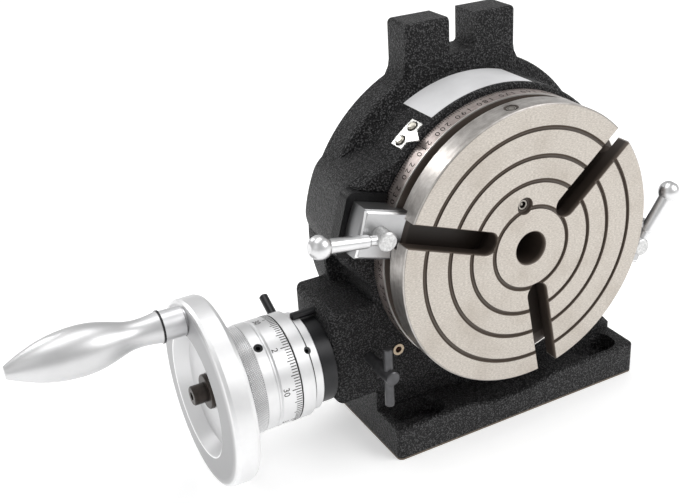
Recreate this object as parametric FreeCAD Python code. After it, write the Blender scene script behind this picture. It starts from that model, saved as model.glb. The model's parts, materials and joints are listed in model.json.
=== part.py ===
"""Rotary indexing table, 150 mm class, standing on its foot with the table face upright.

A worm turns a T-slotted round table inside a cast body. The worm runs in an eccentric
sleeve, so that a short lever lifts it out of mesh and the table can be spun by hand.
Millimetres. X to the right, Y towards the back, Z up. The origin is on the foot's bottom
face, straight below the table's axis and halfway along the foot.
Depths are measured back from the table's face, and reaches are measured from the table's
axis to the left, along the worm shaft.
"""
import FreeCAD, Part
import math
import os
from FreeCAD import Vector

# Body
CENTRE_HEIGHT = 110.0       # table axis above the foot's bottom
FACE_TO_BACK = 80.0         # table face to the machined back: the height when laid flat
FOOT_DEPTH = 68.0
FOOT_LEFT = 74.0
FOOT_RIGHT = 86.0
FOOT_THICK = 19.4
FOOT_CORNER = 3.0           # rounding of the foot's upright front corners
FOOT_EDGE = 1.6             # rounding of its top edges
FOOT_RELIEF_R = 95.2        # shallow scoop in the foot's front edge, round the table axis
POCKET_WALL_LEFT = 4.0      # from the foot's left end to its hold-down pocket
POCKET_WALL_RIGHT = 7.5
POCKET_L = 30.0
POCKET_W = 18.5
POCKET_FRONT = 2.5          # from the foot's front face to the pockets
POCKET_CORNER = 8.5
POCKET_DEEP = 10.0
FOOT_SLOT_W = 13.0          # slot through each pocket's floor
FOOT_SLOT_L = 23.0
DRUM_R = 78.0
FLANGE_R = 86.0
FLANGE_THICK = 18.0
CAST_FILLET = 4.0
LUG_HEIGHT = 106.5          # top of the lugs above the table axis
LUG_HALF_SPAN = 33.0
LUG_THICK = 19.0
LUG_EDGE = 2.5
KEY_SLOT_W = 16.0           # slot between the lugs
KEY_SLOT_FLOOR = 88.0       # its floor above the table axis
KEY_SLOT_CORNER = 2.0
LUG_WEB = 7.0               # cast web that runs from each lug into the flange
HOUSING_REACH = 100.3       # left end of the worm housing
HOUSING_TOP = -22.0         # above the table axis
HOUSING_LOW = -74.5
HOUSING_REAR = 72.0         # depth behind the table's face
HOUSING_EDGE = 4.5
STEP_ABOVE_HOUSING = 12.0   # rise of the wall's left end above the housing's underside
WALL_FRONT = 35.0           # front of the wall between drum and foot
WALL_STEP = 3.0             # upright part of the wall's right end above the foot
WALL_SLOPE = 48.0           # lean of its right end, from level
WALL_RUN = 36.0             # how far the lean reaches in from the foot's right end
EAR_HALF_W = 16.5           # clamp seats
EAR_WALL = 14.0             # from the clamp screws' centres to the seats' outer ends
EAR_FRONT = 26.0
EAR_EDGE = 4.0              # rounding of their corners
EAR_PAD = 7.0               # upright wall round each seat
EAR_STEP = 1.0              # the wall stands this much out of the ear behind it
EAR_ROUND = 4.0             # fall of the ear towards its front edge
EAR_REAR = 2.0              # the ear stands this much out of the flange at the back
EAR_TOP = 7.0               # half-angle of the ear's full height, in degrees
EAR_SPREAD = 27.0           # half-angle at which it has run into the drum
EAR_SINK = 0.6              # its sides end this much inside the drum's surface
EAR_POINTS = 12             # points of its section, each side
EAR_CLEAR = 1.2             # room between the seats and the table's rim
BACK_RIM = 9.0              # width of the machined rim round the hollow back
BACK_HOLLOW = 14.0          # depth of the hollows in the back
BACK_RIB = 9.0
BACK_RIBS = 6
HUB_BOSS_R = 44.0           # boss round the spindle, seen from the back

# Table
TABLE_R = 75.0
TABLE_THICK = 29.1
FRONT_BAND = 12.6
RIM_GROOVE_W = 6.2
RIM_GROOVE_DEEP = 5.0
TABLE_EDGE = 0.8
RING_GROOVES = (22.0, 35.7, 48.4, 62.6)
RING_GROOVE_W = 1.5
RING_GROOVE_DEEP = 1.0
TSLOT_ANGLES = (40.0, 160.0, 280.0)
TSLOT_W = 12.0
TSLOT_EDGE = 0.5
TSLOT_NECK = 8.5
TSLOT_HEAD_W = 20.0
TSLOT_HEAD_H = 7.5
TAPER_R = 8.9               # mouth of the 1:20 centre taper
TAPER_RATE = 0.025
TAPER_LENGTH = 62.0
TAPER_EDGE = 0.6
LOCATOR_R = 58.0            # step that centres the table in the body
LOCATOR_H = 5.0
HUB_R = 38.0                # shoulder that the worm wheel is bolted to
SPINDLE_R = 24.0
SPINDLE_THREAD_R = 22.0
FACE_OILER_RING = 24.7      # distance of the face oiler from the axis
FACE_OILER_ANGLE = 100.0
OILER_R = 3.0
OILER_LENGTH = 5.5
OIL_HOLE_R = 1.0
OILER_POCKET_R = 4.6
OILER_POCKET_DEEP = 2.2
PLUG_ANGLE = 97.0
PLUG_R = 2.6
PLUG_LENGTH = 6.0
PLUG_POCKET_R = 3.7
PLUG_POCKET_DEEP = 0.8

# Worm gear
GEAR_MODULE = 1.0
WHEEL_TEETH = 90
WORM_PITCH_R = 9.0
WHEEL_WIDTH = 12.0
WHEEL_BORE_R = 26.0
WORM_DEPTH = 49.0           # worm axis and wheel centre behind the table's face
WORM_THREADED = 28.0
PRESSURE_ANGLE = 20.0
FLANK_GAP = 0.3             # free play between tooth and thread, each side
ROOT_CLEARANCE = 0.25
WHEEL_SCREWS = 4
WHEEL_SCREW_R = 2.5
WHEEL_SCREW_HEAD_R = 4.25
WHEEL_SCREW_HEAD_H = 5.0
WHEEL_SCREW_GRIP = 12.0
WHEEL_SCREW_RING = 32.5
SPIGOT_R = 18.0             # of the spindle, in the back of the table
SPIGOT_L = 8.0
SPINDLE_SCREW_TURN = 45.0   # of the spindle's screws from those of the wheel
CAVITY_GAP = 6.0            # room round the worm wheel
CAVITY_END = 3.0            # room behind it

# Spindle bearing
BUSH_WALL = 3.0
WASHER_T = 2.0
WASHER_R = 33.0
LOCKNUT_T = 6.0
LOCKNUT_R = 31.0
LOCKNUT_SLOT = 5.0
LOCKNUT_SLOT_DEEP = 3.5
REAR_RECESS_R = 36.0
REAR_RECESS_DEEP = 9.4

# Eccentric sleeve and what it carries
ECCENTRICITY = 3.0
ECCENTRIC_START = 60.0      # worm axis round the sleeve's axis, from up towards the front
SLEEVE_THROW = 53.0         # turn from full mesh to full release
SLEEVE_R = 16.0
SLEEVE_END = 37.0           # right end of the sleeve, past the table's axis
SLEEVE_END_GAP = 1.0
SLEEVE_NOSE_R = 15.5
SLEEVE_WINDOW = 27.0        # half-length of the opening over the worm
WINDOW_MARGIN = 5.0         # degrees added to the opening each way
WORM_RELIEF = 0.7           # room round the thread inside the sleeve
COLLAR_R = 24.0             # fixed stop collar on the housing's end
COLLAR_L = 8.7
COLLAR_EDGE = 1.0
COLLAR_SCREWS = 3
COLLAR_SCREW_R = 1.5
COLLAR_SCREW_HEAD_R = 2.75
COLLAR_SCREW_HEAD_H = 3.0
COLLAR_SCREW_RING = 20.4
COLLAR_SCREW_STEP = 75.0
COLLAR_SCREW_L = 14.0
CLAMP_RING_R = 26.0
CLAMP_RING_L = 5.1
VERNIER_R = 28.0
VERNIER_L = 7.3
VERNIER_EDGE = 0.4
RING_GAP = 0.3              # thin dark lines between the rings
RING_SCREW_R = 2.1          # half in the clamp ring, half in the vernier ring
RING_SCREW_ANGLE = 48.0
RING_SCREW_SUNK = 0.4
LEVER_R = 2.4
LEVER_ROOT_R = 1.6
LEVER_REACH = 44.6          # tip from the worm's axis
LEVER_ANGLE = -62.5         # from up, towards the front
LEVER_EDGE = 0.7
STOP_PIN_R = 2.1
STOP_PIN_RISE = 27.0        # above the worm's axis
STOP_PIN_DEEP = 8.0         # held in the housing
STOP_PIN_OUT = 12.9
STOP_PIN_ROUND = 0.9
NOTCH_GAP = 0.3
NOTCH_TURN = 73.0           # angle of the way cut for the pin in the clamp ring

# Worm shaft and dial
JOURNAL_FAR_R = 7.0
JOURNAL_FAR_L = 17.0
SHAFT_R = 8.0               # under the dial
SHAFT_END_R = 6.0           # under the handwheel
THRUST_R = 14.0
THRUST_T = 1.7
DIAL_R = 28.0
DIAL_GAP = 0.4
DIAL_SCALE_L = 10.3         # graduated band
DIAL_WAIST_L = 2.4
DIAL_WAIST_DEEP = 0.7
DIAL_WAIST_SLOPE = 0.9      # run of each side of the waist
DIAL_SCREW_L = 5.4          # band with the set screw
DIAL_GRIP_L = 8.6           # knurled band
DIAL_GRIP_R = 28.3
DIAL_WALL = 5.0
DIAL_HUB_R = 14.0
DIAL_SCREW_R = 2.4
DIAL_SCREW_ANGLE = 30.0

# Handwheel
WHEEL_R = 48.5
WHEEL_T = 13.0
WHEEL_CROWN = 1.1           # the face stands this much prouder round the dish
WHEEL_ROUND = 2.4
WHEEL_HUB_R = 17.0
WHEEL_HUB_L = 4.1           # hub out of the wheel's back
DISH_R = 32.0
DISH_FLOOR_R = 28.0
DISH_DEEP = 6.2
WHEEL_BACK_DEEP = 4.0       # lightening ring in the wheel's back
WHEEL_BACK_IN = 22.0
WHEEL_BACK_OUT = 43.0
KEY_W = 4.0
KEY_H = 4.0
KEY_L = 9.0
END_WASHER_R = 9.0
END_WASHER_T = 2.6
END_SCREW_R = 3.0
END_SCREW_HEAD_R = 5.0
END_SCREW_HEAD_H = 7.0
END_SCREW_SOCKET = 4.0      # across flats
END_SCREW_L = 18.0
CRANK_BOSS_R = 9.0          # solid seat for the crank handle in the wheel's back

# Crank handle
CRANK_RING = 40.3           # from the wheel's axis
CRANK_ANGLE = -8.5          # from up, towards the front
FERRULE_R = 7.6
FERRULE_L = 11.0
FERRULE_SEAT = 0.8          # thin dark neck against the wheel
SPINDLE_PIN_R = 4.0
SPINDLE_TIP_R = 2.4
SPINDLE_TIP_L = 5.4         # slim end that shows in the grip's tip
SPINDLE_CONE_L = 1.6
GRIP_LENGTH = 72.5
GRIP_RING_R = 8.3
GRIP_RING_T = 0.9
# radius of the grip at shares of its length, from the ferrule to the tip
GRIP_PROFILE = ((0.0, 7.9), (0.092, 6.95), (0.148, 6.8), (0.224, 7.5), (0.286, 8.8),
                (0.355, 10.3), (0.438, 11.6), (0.534, 12.1), (0.659, 11.5), (0.77, 9.9),
                (0.838, 8.3), (0.935, 5.4), (1.0, 3.1))

# Table clamps
CLAMP_ANGLE = 163.4         # left clamp, from right over up
CLAMP_RING = 83.0           # screws from the table's axis
BLOCK_HALF_W = 12.5
BLOCK_WALL = 11.0           # from the screw's centre to the block's outer end
BLOCK_TIP_GAP = 0.6         # from the lip to the groove's bottom
BLOCK_CHAMFER = 1.6
BLOCK_TRAVEL = 0.3          # free way to its seat
CLAMP_SCREW_R = 4.0
CLAMP_SCREW_DEEP = 16.0
CLAMP_HUB_R = 4.9
CLAMP_HUB_L = 8.8
CLAMP_NECK_R = 2.5
CLAMP_NECK_START = 1.5      # from the hub's axis
CLAMP_NECK_END = 8.0
CLAMP_ROD_R = 3.2
CLAMP_ROD_END_R = 3.7
CLAMP_BALL_R = 5.9
CLAMP_BALL_OUT = 33.8       # ball centre from the hub's axis
CLAMP_BALL_FLAT = 0.5
LEFT_ROD_ANGLE = 171.4
RIGHT_ROD_ANGLE = 53.0

# Sleeve lock screw, oiler, pointer
LOCK_IN = 20.5              # from the housing's left end
LOCK_BELOW = 30.0           # below the housing's top
LOCK_HEAD_R = 3.8
LOCK_HEAD_L = 14.5
LOCK_THREAD_R = 3.0
LOCK_OUT = 24.7             # out of the body's front
LOCK_PAD_L = 2.0
LOCK_BAR_R = 2.45
LOCK_BAR_L = 33.5
LOCK_BAR_BACK = 5.0         # from the screw's end to the bar's axis
LOCK_BAR_SLIP = 1.5         # the bar hangs this much low in its hole
BODY_OILER_OUT = 7.2        # beyond the table's rim
BODY_OILER_ANGLE = 220.2
POINTER_ANGLE = 128.8
POINTER_W = 16.0
POINTER_T = 0.8
POINTER_L = 9.4
POINTER_TIP = 7.0
POINTER_TIP_W = 8.0
POINTER_BACK = 2.5          # plate's front edge behind the table's back
POINTER_SCREW_R = 1.3
POINTER_SCREW_HEAD_R = 2.4
POINTER_SCREW_HEAD_H = 1.4
POINTER_SCREW_L = 6.0
POINTER_SCREW_SPACING = 9.0

# Fits
RUN_GAP = 0.04              # shafts in their bores
FACE_GAP = 0.1              # sliding flat faces
SCREW_GAP = 0.2             # clearance holes
SIDE_GAP = 0.3              # curved faces that pass each other

# Places worked out from the sizes above
BACK_Y = FOOT_DEPTH / 2
FACE_Y = BACK_Y - FACE_TO_BACK
AXIS = Vector(0, FACE_Y, CENTRE_HEIGHT)
SEAT_DEPTH = TABLE_THICK + FACE_GAP
FLANGE_DEPTH = FACE_TO_BACK - FLANGE_THICK
WHEEL_PITCH_R = GEAR_MODULE * WHEEL_TEETH / 2
WHEEL_TIP_R = WHEEL_PITCH_R + GEAR_MODULE
WORM_TIP_R = WORM_PITCH_R + GEAR_MODULE
WORM_ROOT_R = WORM_PITCH_R - GEAR_MODULE - ROOT_CLEARANCE
WORM_Y = FACE_Y + WORM_DEPTH
WORM_Z = CENTRE_HEIGHT - WHEEL_PITCH_R - WORM_PITCH_R
START = math.radians(ECCENTRIC_START)
SLEEVE_Y = WORM_Y + ECCENTRICITY * math.sin(START)
SLEEVE_Z = WORM_Z - ECCENTRICITY * math.cos(START)
WHEEL_FRONT = WORM_DEPTH - WHEEL_WIDTH / 2
WHEEL_REAR = WORM_DEPTH + WHEEL_WIDTH / 2
CAVITY_R = WHEEL_TIP_R + CAVITY_GAP
CAVITY_REAR = WHEEL_REAR + CAVITY_END
LOCATOR_REAR = TABLE_THICK + LOCATOR_H
REAR_SHELF = FACE_TO_BACK - REAR_RECESS_DEEP
COLLAR_END = HOUSING_REACH + COLLAR_L
CLAMP_RING_START = COLLAR_END + FACE_GAP
CLAMP_RING_END = CLAMP_RING_START + CLAMP_RING_L
RING_MIDDLE = (CLAMP_RING_START + CLAMP_RING_END) / 2
VERNIER_START = CLAMP_RING_END + RING_GAP
RING_JOINT = (CLAMP_RING_END + VERNIER_START) / 2
VERNIER_END = VERNIER_START + VERNIER_L
NOSE_END = VERNIER_END - THRUST_T - FACE_GAP
FAR_SHOULDER = SLEEVE_END - JOURNAL_FAR_L
DIAL_START = VERNIER_END + DIAL_GAP
WAIST_START = DIAL_START + DIAL_SCALE_L
SCREW_BAND_START = WAIST_START + DIAL_WAIST_L
KNURL_START = SCREW_BAND_START + DIAL_SCREW_L
DIAL_END = KNURL_START + DIAL_GRIP_L
HUB_START = DIAL_END + RING_GAP
WHEEL_BACK = HUB_START + WHEEL_HUB_L
WHEEL_FACE = WHEEL_BACK + WHEEL_T
DISH_FLOOR = WHEEL_FACE - DISH_DEEP
SHAFT_END = DISH_FLOOR - FACE_GAP
BLOCK_FRONT = FRONT_BAND + 0.4
SHOULDER = FRONT_BAND + RIM_GROOVE_W
HUB_FRONT = BLOCK_FRONT - FACE_GAP - CLAMP_HUB_L
FRONT_WALL_Y = FACE_Y + SEAT_DEPTH
FOOT_TOP = FOOT_THICK
FERRULE_END = WHEEL_FACE + FERRULE_SEAT + FERRULE_L
GRIP_START = FERRULE_END + GRIP_RING_T
GRIP_TIP = GRIP_START + GRIP_LENGTH
SPINDLE_SHOULDER = REAR_SHELF + FACE_GAP
BLOCK_FOOT = EAR_FRONT - BLOCK_TRAVEL
POCKET_Y = BACK_Y - FOOT_DEPTH + POCKET_FRONT + POCKET_W / 2
EAR_REACH = CLAMP_RING + EAR_WALL
BLOCK_REACH = CLAMP_RING + BLOCK_WALL
LOCK_X = LOCK_IN - HOUSING_REACH
LOCK_Z = CENTRE_HEIGHT + HOUSING_TOP - LOCK_BELOW
BODY_OILER_RING = TABLE_R + BODY_OILER_OUT
LUG_ROOT = math.sqrt(FLANGE_R ** 2 - LUG_HALF_SPAN ** 2)

os.makedirs("parts", exist_ok=True)


def save(name, shape):
    """Writes one node, one solid or a group of like solids."""
    solids = shape.Solids
    if not solids or not all(s.isValid() for s in solids):
        raise ValueError(name + " isn't a sound solid")
    out = solids[0] if len(solids) == 1 else Part.makeCompound(solids)
    out.exportStep("parts/" + name + ".step")
    print(name, len(solids), "solid(s)", round(shape.Volume / 1000, 2), "cm3")


def turned(points, origin, direction, side):
    """Lathe work: a closed outline of (radius, station) points turned round an axis."""
    corners = [origin + side * r + direction * s for r, s in points]
    face = Part.Face(Part.makePolygon(corners + corners[:1]))
    return face.revolve(origin, direction, 360)


def table_turned(points):
    """Turned round the table's axis. Stations are depths behind the table's face."""
    return turned(points, AXIS, Vector(0, 1, 0), Vector(1, 0, 0))


def shaft_turned(points):
    """Turned round the worm's axis. Stations are reaches to the left of the table's axis."""
    return turned(points, Vector(0, WORM_Y, WORM_Z), Vector(-1, 0, 0), Vector(0, 0, 1))


def ring(outer, inner, start, end, edge=0.0):
    """Outline of a ring with bevelled outer edges, for the two lathes."""
    return [(inner, start), (outer - edge, start), (outer, start + edge),
            (outer, end - edge), (outer - edge, end), (inner, end)]


def rod(radius, start, end):
    """A round bar between two points."""
    way = end - start
    return Part.makeCylinder(radius, way.Length, start, way)


def table_point(radius, angle, depth):
    """A point by its distance and angle round the table's axis, and its depth."""
    a = math.radians(angle)
    return AXIS + Vector(radius * math.cos(a), depth, radius * math.sin(a))


def shaft_point(radius, angle, reach):
    """A point round the worm's axis. The angle runs from up towards the front."""
    a = math.radians(angle)
    return Vector(-reach, WORM_Y - radius * math.sin(a), WORM_Z + radius * math.cos(a))


def slab(outline, start, end):
    """A flat outline of (across, up) points from the table's axis, between two depths."""
    corners = [AXIS + Vector(x, start, z) for x, z in outline]
    face = Part.Face(Part.makePolygon(corners + corners[:1]))
    return face.extrude(Vector(0, end - start, 0))


def rounded(shape, radius, chosen):
    """Rounds the edges that the test picks."""
    edges = [e for e in shape.Edges if chosen(e)]
    return shape.makeFillet(radius, edges)


def along(edge, direction):
    """Whether a straight edge runs along a direction."""
    if not isinstance(edge.Curve, (Part.Line, Part.LineSegment)):
        return False
    way = edge.Vertexes[-1].Point - edge.Vertexes[0].Point
    return way.cross(direction).Length < 1e-6


def clamp_turn(side):
    """Angle of a clamp: the right one lies opposite the left one."""
    return CLAMP_ANGLE if side == "left" else CLAMP_ANGLE - 180.0


def turned_to(shape, angle):
    """Turns a shape that was drawn along +X round the table's axis to an angle."""
    copy = shape.copy()
    copy.rotate(AXIS, Vector(0, 1, 0), -angle)
    return copy


def round_drum():
    """Drum and flange in one turned outline, with cast roundings."""
    f = CAST_FILLET
    drum = table_turned([(0, SEAT_DEPTH), (DRUM_R - 1, SEAT_DEPTH), (DRUM_R, SEAT_DEPTH + 1),
                         (DRUM_R, FLANGE_DEPTH + f), (0, FLANGE_DEPTH + f)])
    fillet = table_turned([(DRUM_R - 1, FLANGE_DEPTH - f), (DRUM_R, FLANGE_DEPTH - f),
                           (DRUM_R + 0.3 * f, FLANGE_DEPTH - 0.3 * f),
                           (DRUM_R + f, FLANGE_DEPTH), (DRUM_R - 1, FLANGE_DEPTH)])
    flange = table_turned([(0, FLANGE_DEPTH), (FLANGE_R - 2, FLANGE_DEPTH),
                           (FLANGE_R - 0.6, FLANGE_DEPTH + 0.6), (FLANGE_R, FLANGE_DEPTH + 2),
                           (FLANGE_R, FACE_TO_BACK - 1), (FLANGE_R - 1, FACE_TO_BACK),
                           (0, FACE_TO_BACK)])
    return drum.fuse([fillet, flange])


def foot():
    """The foot that the table stands on when it is used upright."""
    front = FACE_TO_BACK - FOOT_DEPTH
    block = Part.makeBox(FOOT_LEFT + FOOT_RIGHT, FOOT_DEPTH, FOOT_THICK,
                         Vector(-FOOT_LEFT, FACE_Y + front, 0))
    block = rounded(block, FOOT_CORNER, lambda e: along(e, Vector(0, 0, 1))
                    and e.CenterOfMass.y < 0)
    scoop = Part.makeCylinder(FOOT_RELIEF_R, WALL_FRONT - front, AXIS + Vector(0, front, 0),
                              Vector(0, 1, 0))
    block = block.cut(scoop)
    return rounded(block, FOOT_EDGE, lambda e: e.BoundBox.ZMin > FOOT_TOP / 2
                   and e.BoundBox.YMax < FACE_Y + WALL_FRONT - 1e-3)


def pocket_centres():
    """X of the two hold-down pockets."""
    left = POCKET_WALL_LEFT + POCKET_L / 2 - FOOT_LEFT
    return left, FOOT_RIGHT - POCKET_WALL_RIGHT - POCKET_L / 2


def round_slot(length, width, corner, x, low, high):
    """A rounded rectangle round a pocket's centre, between two heights."""
    block = Part.makeBox(length, width, high - low, Vector(x - length / 2,
                                                           POCKET_Y - width / 2, low))
    return rounded(block, corner, lambda e: along(e, Vector(0, 0, 1)))


def foot_pockets():
    """Pockets for the hold-down nuts, each with a slot through its floor."""
    cuts = []
    for x in pocket_centres():
        pocket = round_slot(POCKET_L, POCKET_W, POCKET_CORNER, x, FOOT_TOP - POCKET_DEEP,
                            FOOT_TOP + POCKET_DEEP)
        slot = round_slot(FOOT_SLOT_L, FOOT_SLOT_W, FOOT_SLOT_W / 2 - 0.001, x, -1,
                          FOOT_TOP - POCKET_DEEP / 2)
        cuts.append(pocket.fuse(slot))
    return cuts


def lower_wall():
    """The wall from the drum down to the foot."""
    top = FOOT_TOP - CENTRE_HEIGHT + WALL_STEP
    lean = math.tan(math.radians(WALL_SLOPE))
    outline = [(-FOOT_LEFT, 1 - CENTRE_HEIGHT), (-FOOT_LEFT, HOUSING_LOW + STEP_ABOVE_HOUSING),
               (0, 0), (FOOT_RIGHT - WALL_RUN, top + WALL_RUN * lean), (FOOT_RIGHT, top),
               (FOOT_RIGHT, 1 - CENTRE_HEIGHT)]
    return slab(outline, WALL_FRONT, FACE_TO_BACK)


def worm_housing():
    """The block that the worm sleeve runs in."""
    block = slab([(-HOUSING_REACH, HOUSING_LOW), (0, HOUSING_LOW), (0, HOUSING_TOP),
                  (-HOUSING_REACH, HOUSING_TOP)], SEAT_DEPTH, HOUSING_REAR)
    end = 1 - HOUSING_REACH
    return rounded(block, HOUSING_EDGE, lambda e: e.CenterOfMass.x < -HOUSING_REACH / 3
                   and not (e.BoundBox.XMax < end and not along(e, Vector(0, 1, 0))
                            and not along(e, Vector(0, 0, 1)))
                   and e.BoundBox.XMax < end)


def lugs():
    """Two lugs with the key slot between them."""
    w, top, low, web = LUG_HALF_SPAN, LUG_HEIGHT, LUG_ROOT, LUG_WEB
    block = slab([(-w, 0.6 * low), (w, 0.6 * low), (w, top), (-w, top)],
                 FACE_TO_BACK - LUG_THICK, FACE_TO_BACK)
    block = rounded(block, LUG_EDGE, lambda e: e.BoundBox.ZMax > CENTRE_HEIGHT + low
                    and e.BoundBox.YMin < BACK_Y - 1e-3)
    half = KEY_SLOT_W / 2
    slot = slab([(-half, KEY_SLOT_FLOOR), (half, KEY_SLOT_FLOOR), (half, top + 1),
                 (-half, top + 1)], FACE_TO_BACK - LUG_THICK - 1, FACE_TO_BACK + 1)
    slot = rounded(slot, KEY_SLOT_CORNER, lambda e: along(e, Vector(0, 1, 0))
                   and e.CenterOfMass.z < CENTRE_HEIGHT + KEY_SLOT_FLOOR + KEY_SLOT_CORNER)
    block = block.cut(slot)
    webs = []
    for side in (-1, 1):
        curve = [(w, low - web), (w + web, low - 1.3 * web), (w + 0.43 * web, low - 0.21 * web),
                 (w + 0.13 * web, low + 0.36 * web), (w, low + 1.14 * web)]
        webs.append(slab([(side * x, z) for x, z in curve], FLANGE_DEPTH + 1, FACE_TO_BACK - 0.5))
    return block.fuse(webs)


def ear_section(reach, depth):
    """Section of an ear at one depth: a swelling that runs into the drum on both sides."""
    low = DRUM_R - EAR_SINK
    points = []
    for i in range(-EAR_POINTS, EAR_POINTS + 1):
        angle = EAR_SPREAD * i / EAR_POINTS
        share = min(1.0, (EAR_SPREAD - abs(angle)) / (EAR_SPREAD - EAR_TOP))
        rise = share * share * (3 - 2 * share)
        points.append(table_point(low + (reach - low) * rise, angle, depth))
    curve = Part.BSplineCurve()
    curve.interpolate(points)
    return Part.Wire([curve.toShape(), Part.makeLine(points[-1], points[0])])


def ear(side):
    """A clamp seat on a swelling of the drum that slopes back to the flange."""
    swelling = Part.makeLoft([ear_section(EAR_REACH - EAR_STEP - EAR_ROUND, SEAT_DEPTH),
                              ear_section(EAR_REACH - EAR_STEP, EAR_FRONT + EAR_PAD + 1),
                              ear_section(FLANGE_R + EAR_REAR, FACE_TO_BACK - 1)], True, True)
    w = EAR_HALF_W
    seat = slab([(LOCATOR_R, -w), (EAR_REACH, -w), (EAR_REACH, w), (LOCATOR_R, w)],
                EAR_FRONT, EAR_FRONT + EAR_PAD)
    seat = rounded(seat, EAR_EDGE, lambda e: along(e, Vector(0, 1, 0))
                   and e.CenterOfMass.x > EAR_REACH - 1)
    room = table_turned([(0, 0), (TABLE_R + EAR_CLEAR, 0), (TABLE_R + EAR_CLEAR, SEAT_DEPTH),
                         (0, SEAT_DEPTH)])
    return turned_to(seat.fuse(swelling), clamp_turn(side)).cut(room)


def back_hollows():
    """Pockets between ribs in the casting's back, above the worm sleeve."""
    low = FACE_TO_BACK - BACK_HOLLOW
    pocket = table_turned([(HUB_BOSS_R, low), (FLANGE_R - BACK_RIM, low),
                           (FLANGE_R - BACK_RIM, FACE_TO_BACK + 1), (HUB_BOSS_R, FACE_TO_BACK + 1)])
    ribs = []
    for i in range(BACK_RIBS):
        rib = Part.makeBox(FLANGE_R, BACK_HOLLOW + 2, BACK_RIB,
                           AXIS + Vector(0, low - 1, -BACK_RIB / 2))
        ribs.append(turned_to(rib, 30 + 360.0 * i / BACK_RIBS))
    keep = Part.makeBox(4 * FLANGE_R, 2 * FACE_TO_BACK, CENTRE_HEIGHT,
                        Vector(-2 * FLANGE_R, FACE_Y, SLEEVE_Z + SLEEVE_R + BACK_RIB / 2))
    return pocket.cut(ribs).common(keep)


def body_bores():
    """Everything that is machined into the casting."""
    stations = table_turned([
        (0, SEAT_DEPTH - 1), (LOCATOR_R + RUN_GAP, SEAT_DEPTH - 1),
        (LOCATOR_R + RUN_GAP, LOCATOR_REAR + FACE_GAP + 0.5),
        (CAVITY_R, LOCATOR_REAR + FACE_GAP + 0.5), (CAVITY_R, CAVITY_REAR),
        (SPINDLE_R + BUSH_WALL, CAVITY_REAR), (SPINDLE_R + BUSH_WALL, REAR_SHELF),
        (REAR_RECESS_R, REAR_SHELF), (REAR_RECESS_R, FACE_TO_BACK + 1), (0, FACE_TO_BACK + 1)])
    cuts = [stations, rod(SLEEVE_R + RUN_GAP, Vector(-HOUSING_REACH - 1, SLEEVE_Y, SLEEVE_Z),
                          Vector(SLEEVE_END + SLEEVE_END_GAP, SLEEVE_Y, SLEEVE_Z))]
    lock = Vector(LOCK_X, FRONT_WALL_Y, LOCK_Z)
    cuts.append(rod(LOCK_THREAD_R + RUN_GAP, lock - Vector(0, 1, 0), lock + Vector(0, SLEEVE_R, 0)))
    oiler = table_point(BODY_OILER_RING, BODY_OILER_ANGLE, SEAT_DEPTH)
    cuts.append(rod(OILER_R, oiler - Vector(0, 1, 0), oiler + Vector(0, OILER_LENGTH, 0)))
    cuts.append(rod(OIL_HOLE_R, oiler, oiler + Vector(0, SLEEVE_R, 0)))
    for side in ("left", "right"):
        screw = table_point(CLAMP_RING, clamp_turn(side), EAR_FRONT)
        cuts.append(rod(CLAMP_SCREW_R + RUN_GAP, screw - Vector(0, 1, 0),
                        screw + Vector(0, CLAMP_SCREW_DEEP + 1, 0)))
    pin = shaft_point(STOP_PIN_RISE, 0, HOUSING_REACH)
    cuts.append(rod(STOP_PIN_R, pin - Vector(1, 0, 0), pin + Vector(STOP_PIN_DEEP, 0, 0)))
    for p in collar_screw_places(HOUSING_REACH):
        cuts.append(rod(COLLAR_SCREW_R, p - Vector(1, 0, 0), p + Vector(COLLAR_SCREW_L, 0, 0)))
    for angle, depth in pointer_screw_places():
        cuts.append(rod(POINTER_SCREW_R, table_point(DRUM_R - POINTER_SCREW_L, angle, depth),
                        table_point(DRUM_R + 1, angle, depth)))
    return cuts


def body_casting():
    shape = round_drum().fuse([foot(), lower_wall(), worm_housing(), lugs(), ear("left"),
                               ear("right")])
    shape = shape.cut([back_hollows()] + foot_pockets() + body_bores())
    save("body_casting", shape.removeSplitter())


def tslot_cuts():
    """Edge bevel, neck and undercut of each T-slot, open at the rim."""
    centre = RING_GROOVES[0] + TSLOT_W / 2
    length = TABLE_R + 5 - centre
    cuts = []
    for angle in TSLOT_ANGLES:
        for width, start, height in ((TSLOT_W, -1.0, TSLOT_NECK + 2),
                                     (TSLOT_HEAD_W, TSLOT_NECK, TSLOT_HEAD_H)):
            run = Part.makeBox(length, height, width, AXIS + Vector(centre, start, -width / 2))
            end = Part.makeCylinder(width / 2, height, AXIS + Vector(centre, start, 0),
                                    Vector(0, 1, 0))
            cuts.append(turned_to(run.fuse(end), angle))
        half, e = TSLOT_W / 2, TSLOT_EDGE
        bevel = Part.Face(Part.makePolygon([AXIS + Vector(centre, y, z) for y, z in
                                            ((-e, -half - 2 * e), (-e, half + 2 * e), (e, half),
                                             (e, -half), (-e, -half - 2 * e))]))
        cone = Part.makeCone(half + 2 * e, half, 2 * e, AXIS + Vector(centre, -e, 0),
                             Vector(0, 1, 0))
        cuts.append(turned_to(bevel.extrude(Vector(length, 0, 0)).fuse(cone), angle))
    return cuts


def ring_groove_outline():
    """The face from the rim inwards, with its concentric grooves."""
    points = []
    for r in reversed(RING_GROOVES):
        half = RING_GROOVE_W / 2
        points += [(r + half, 0), (r + half, RING_GROOVE_DEEP), (r - half, RING_GROOVE_DEEP),
                   (r - half, 0)]
    return points


def taper_radius(depth):
    """Radius of the centre taper at a depth behind the table's face."""
    return TAPER_R - TAPER_RATE * min(depth, TAPER_LENGTH)


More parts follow.
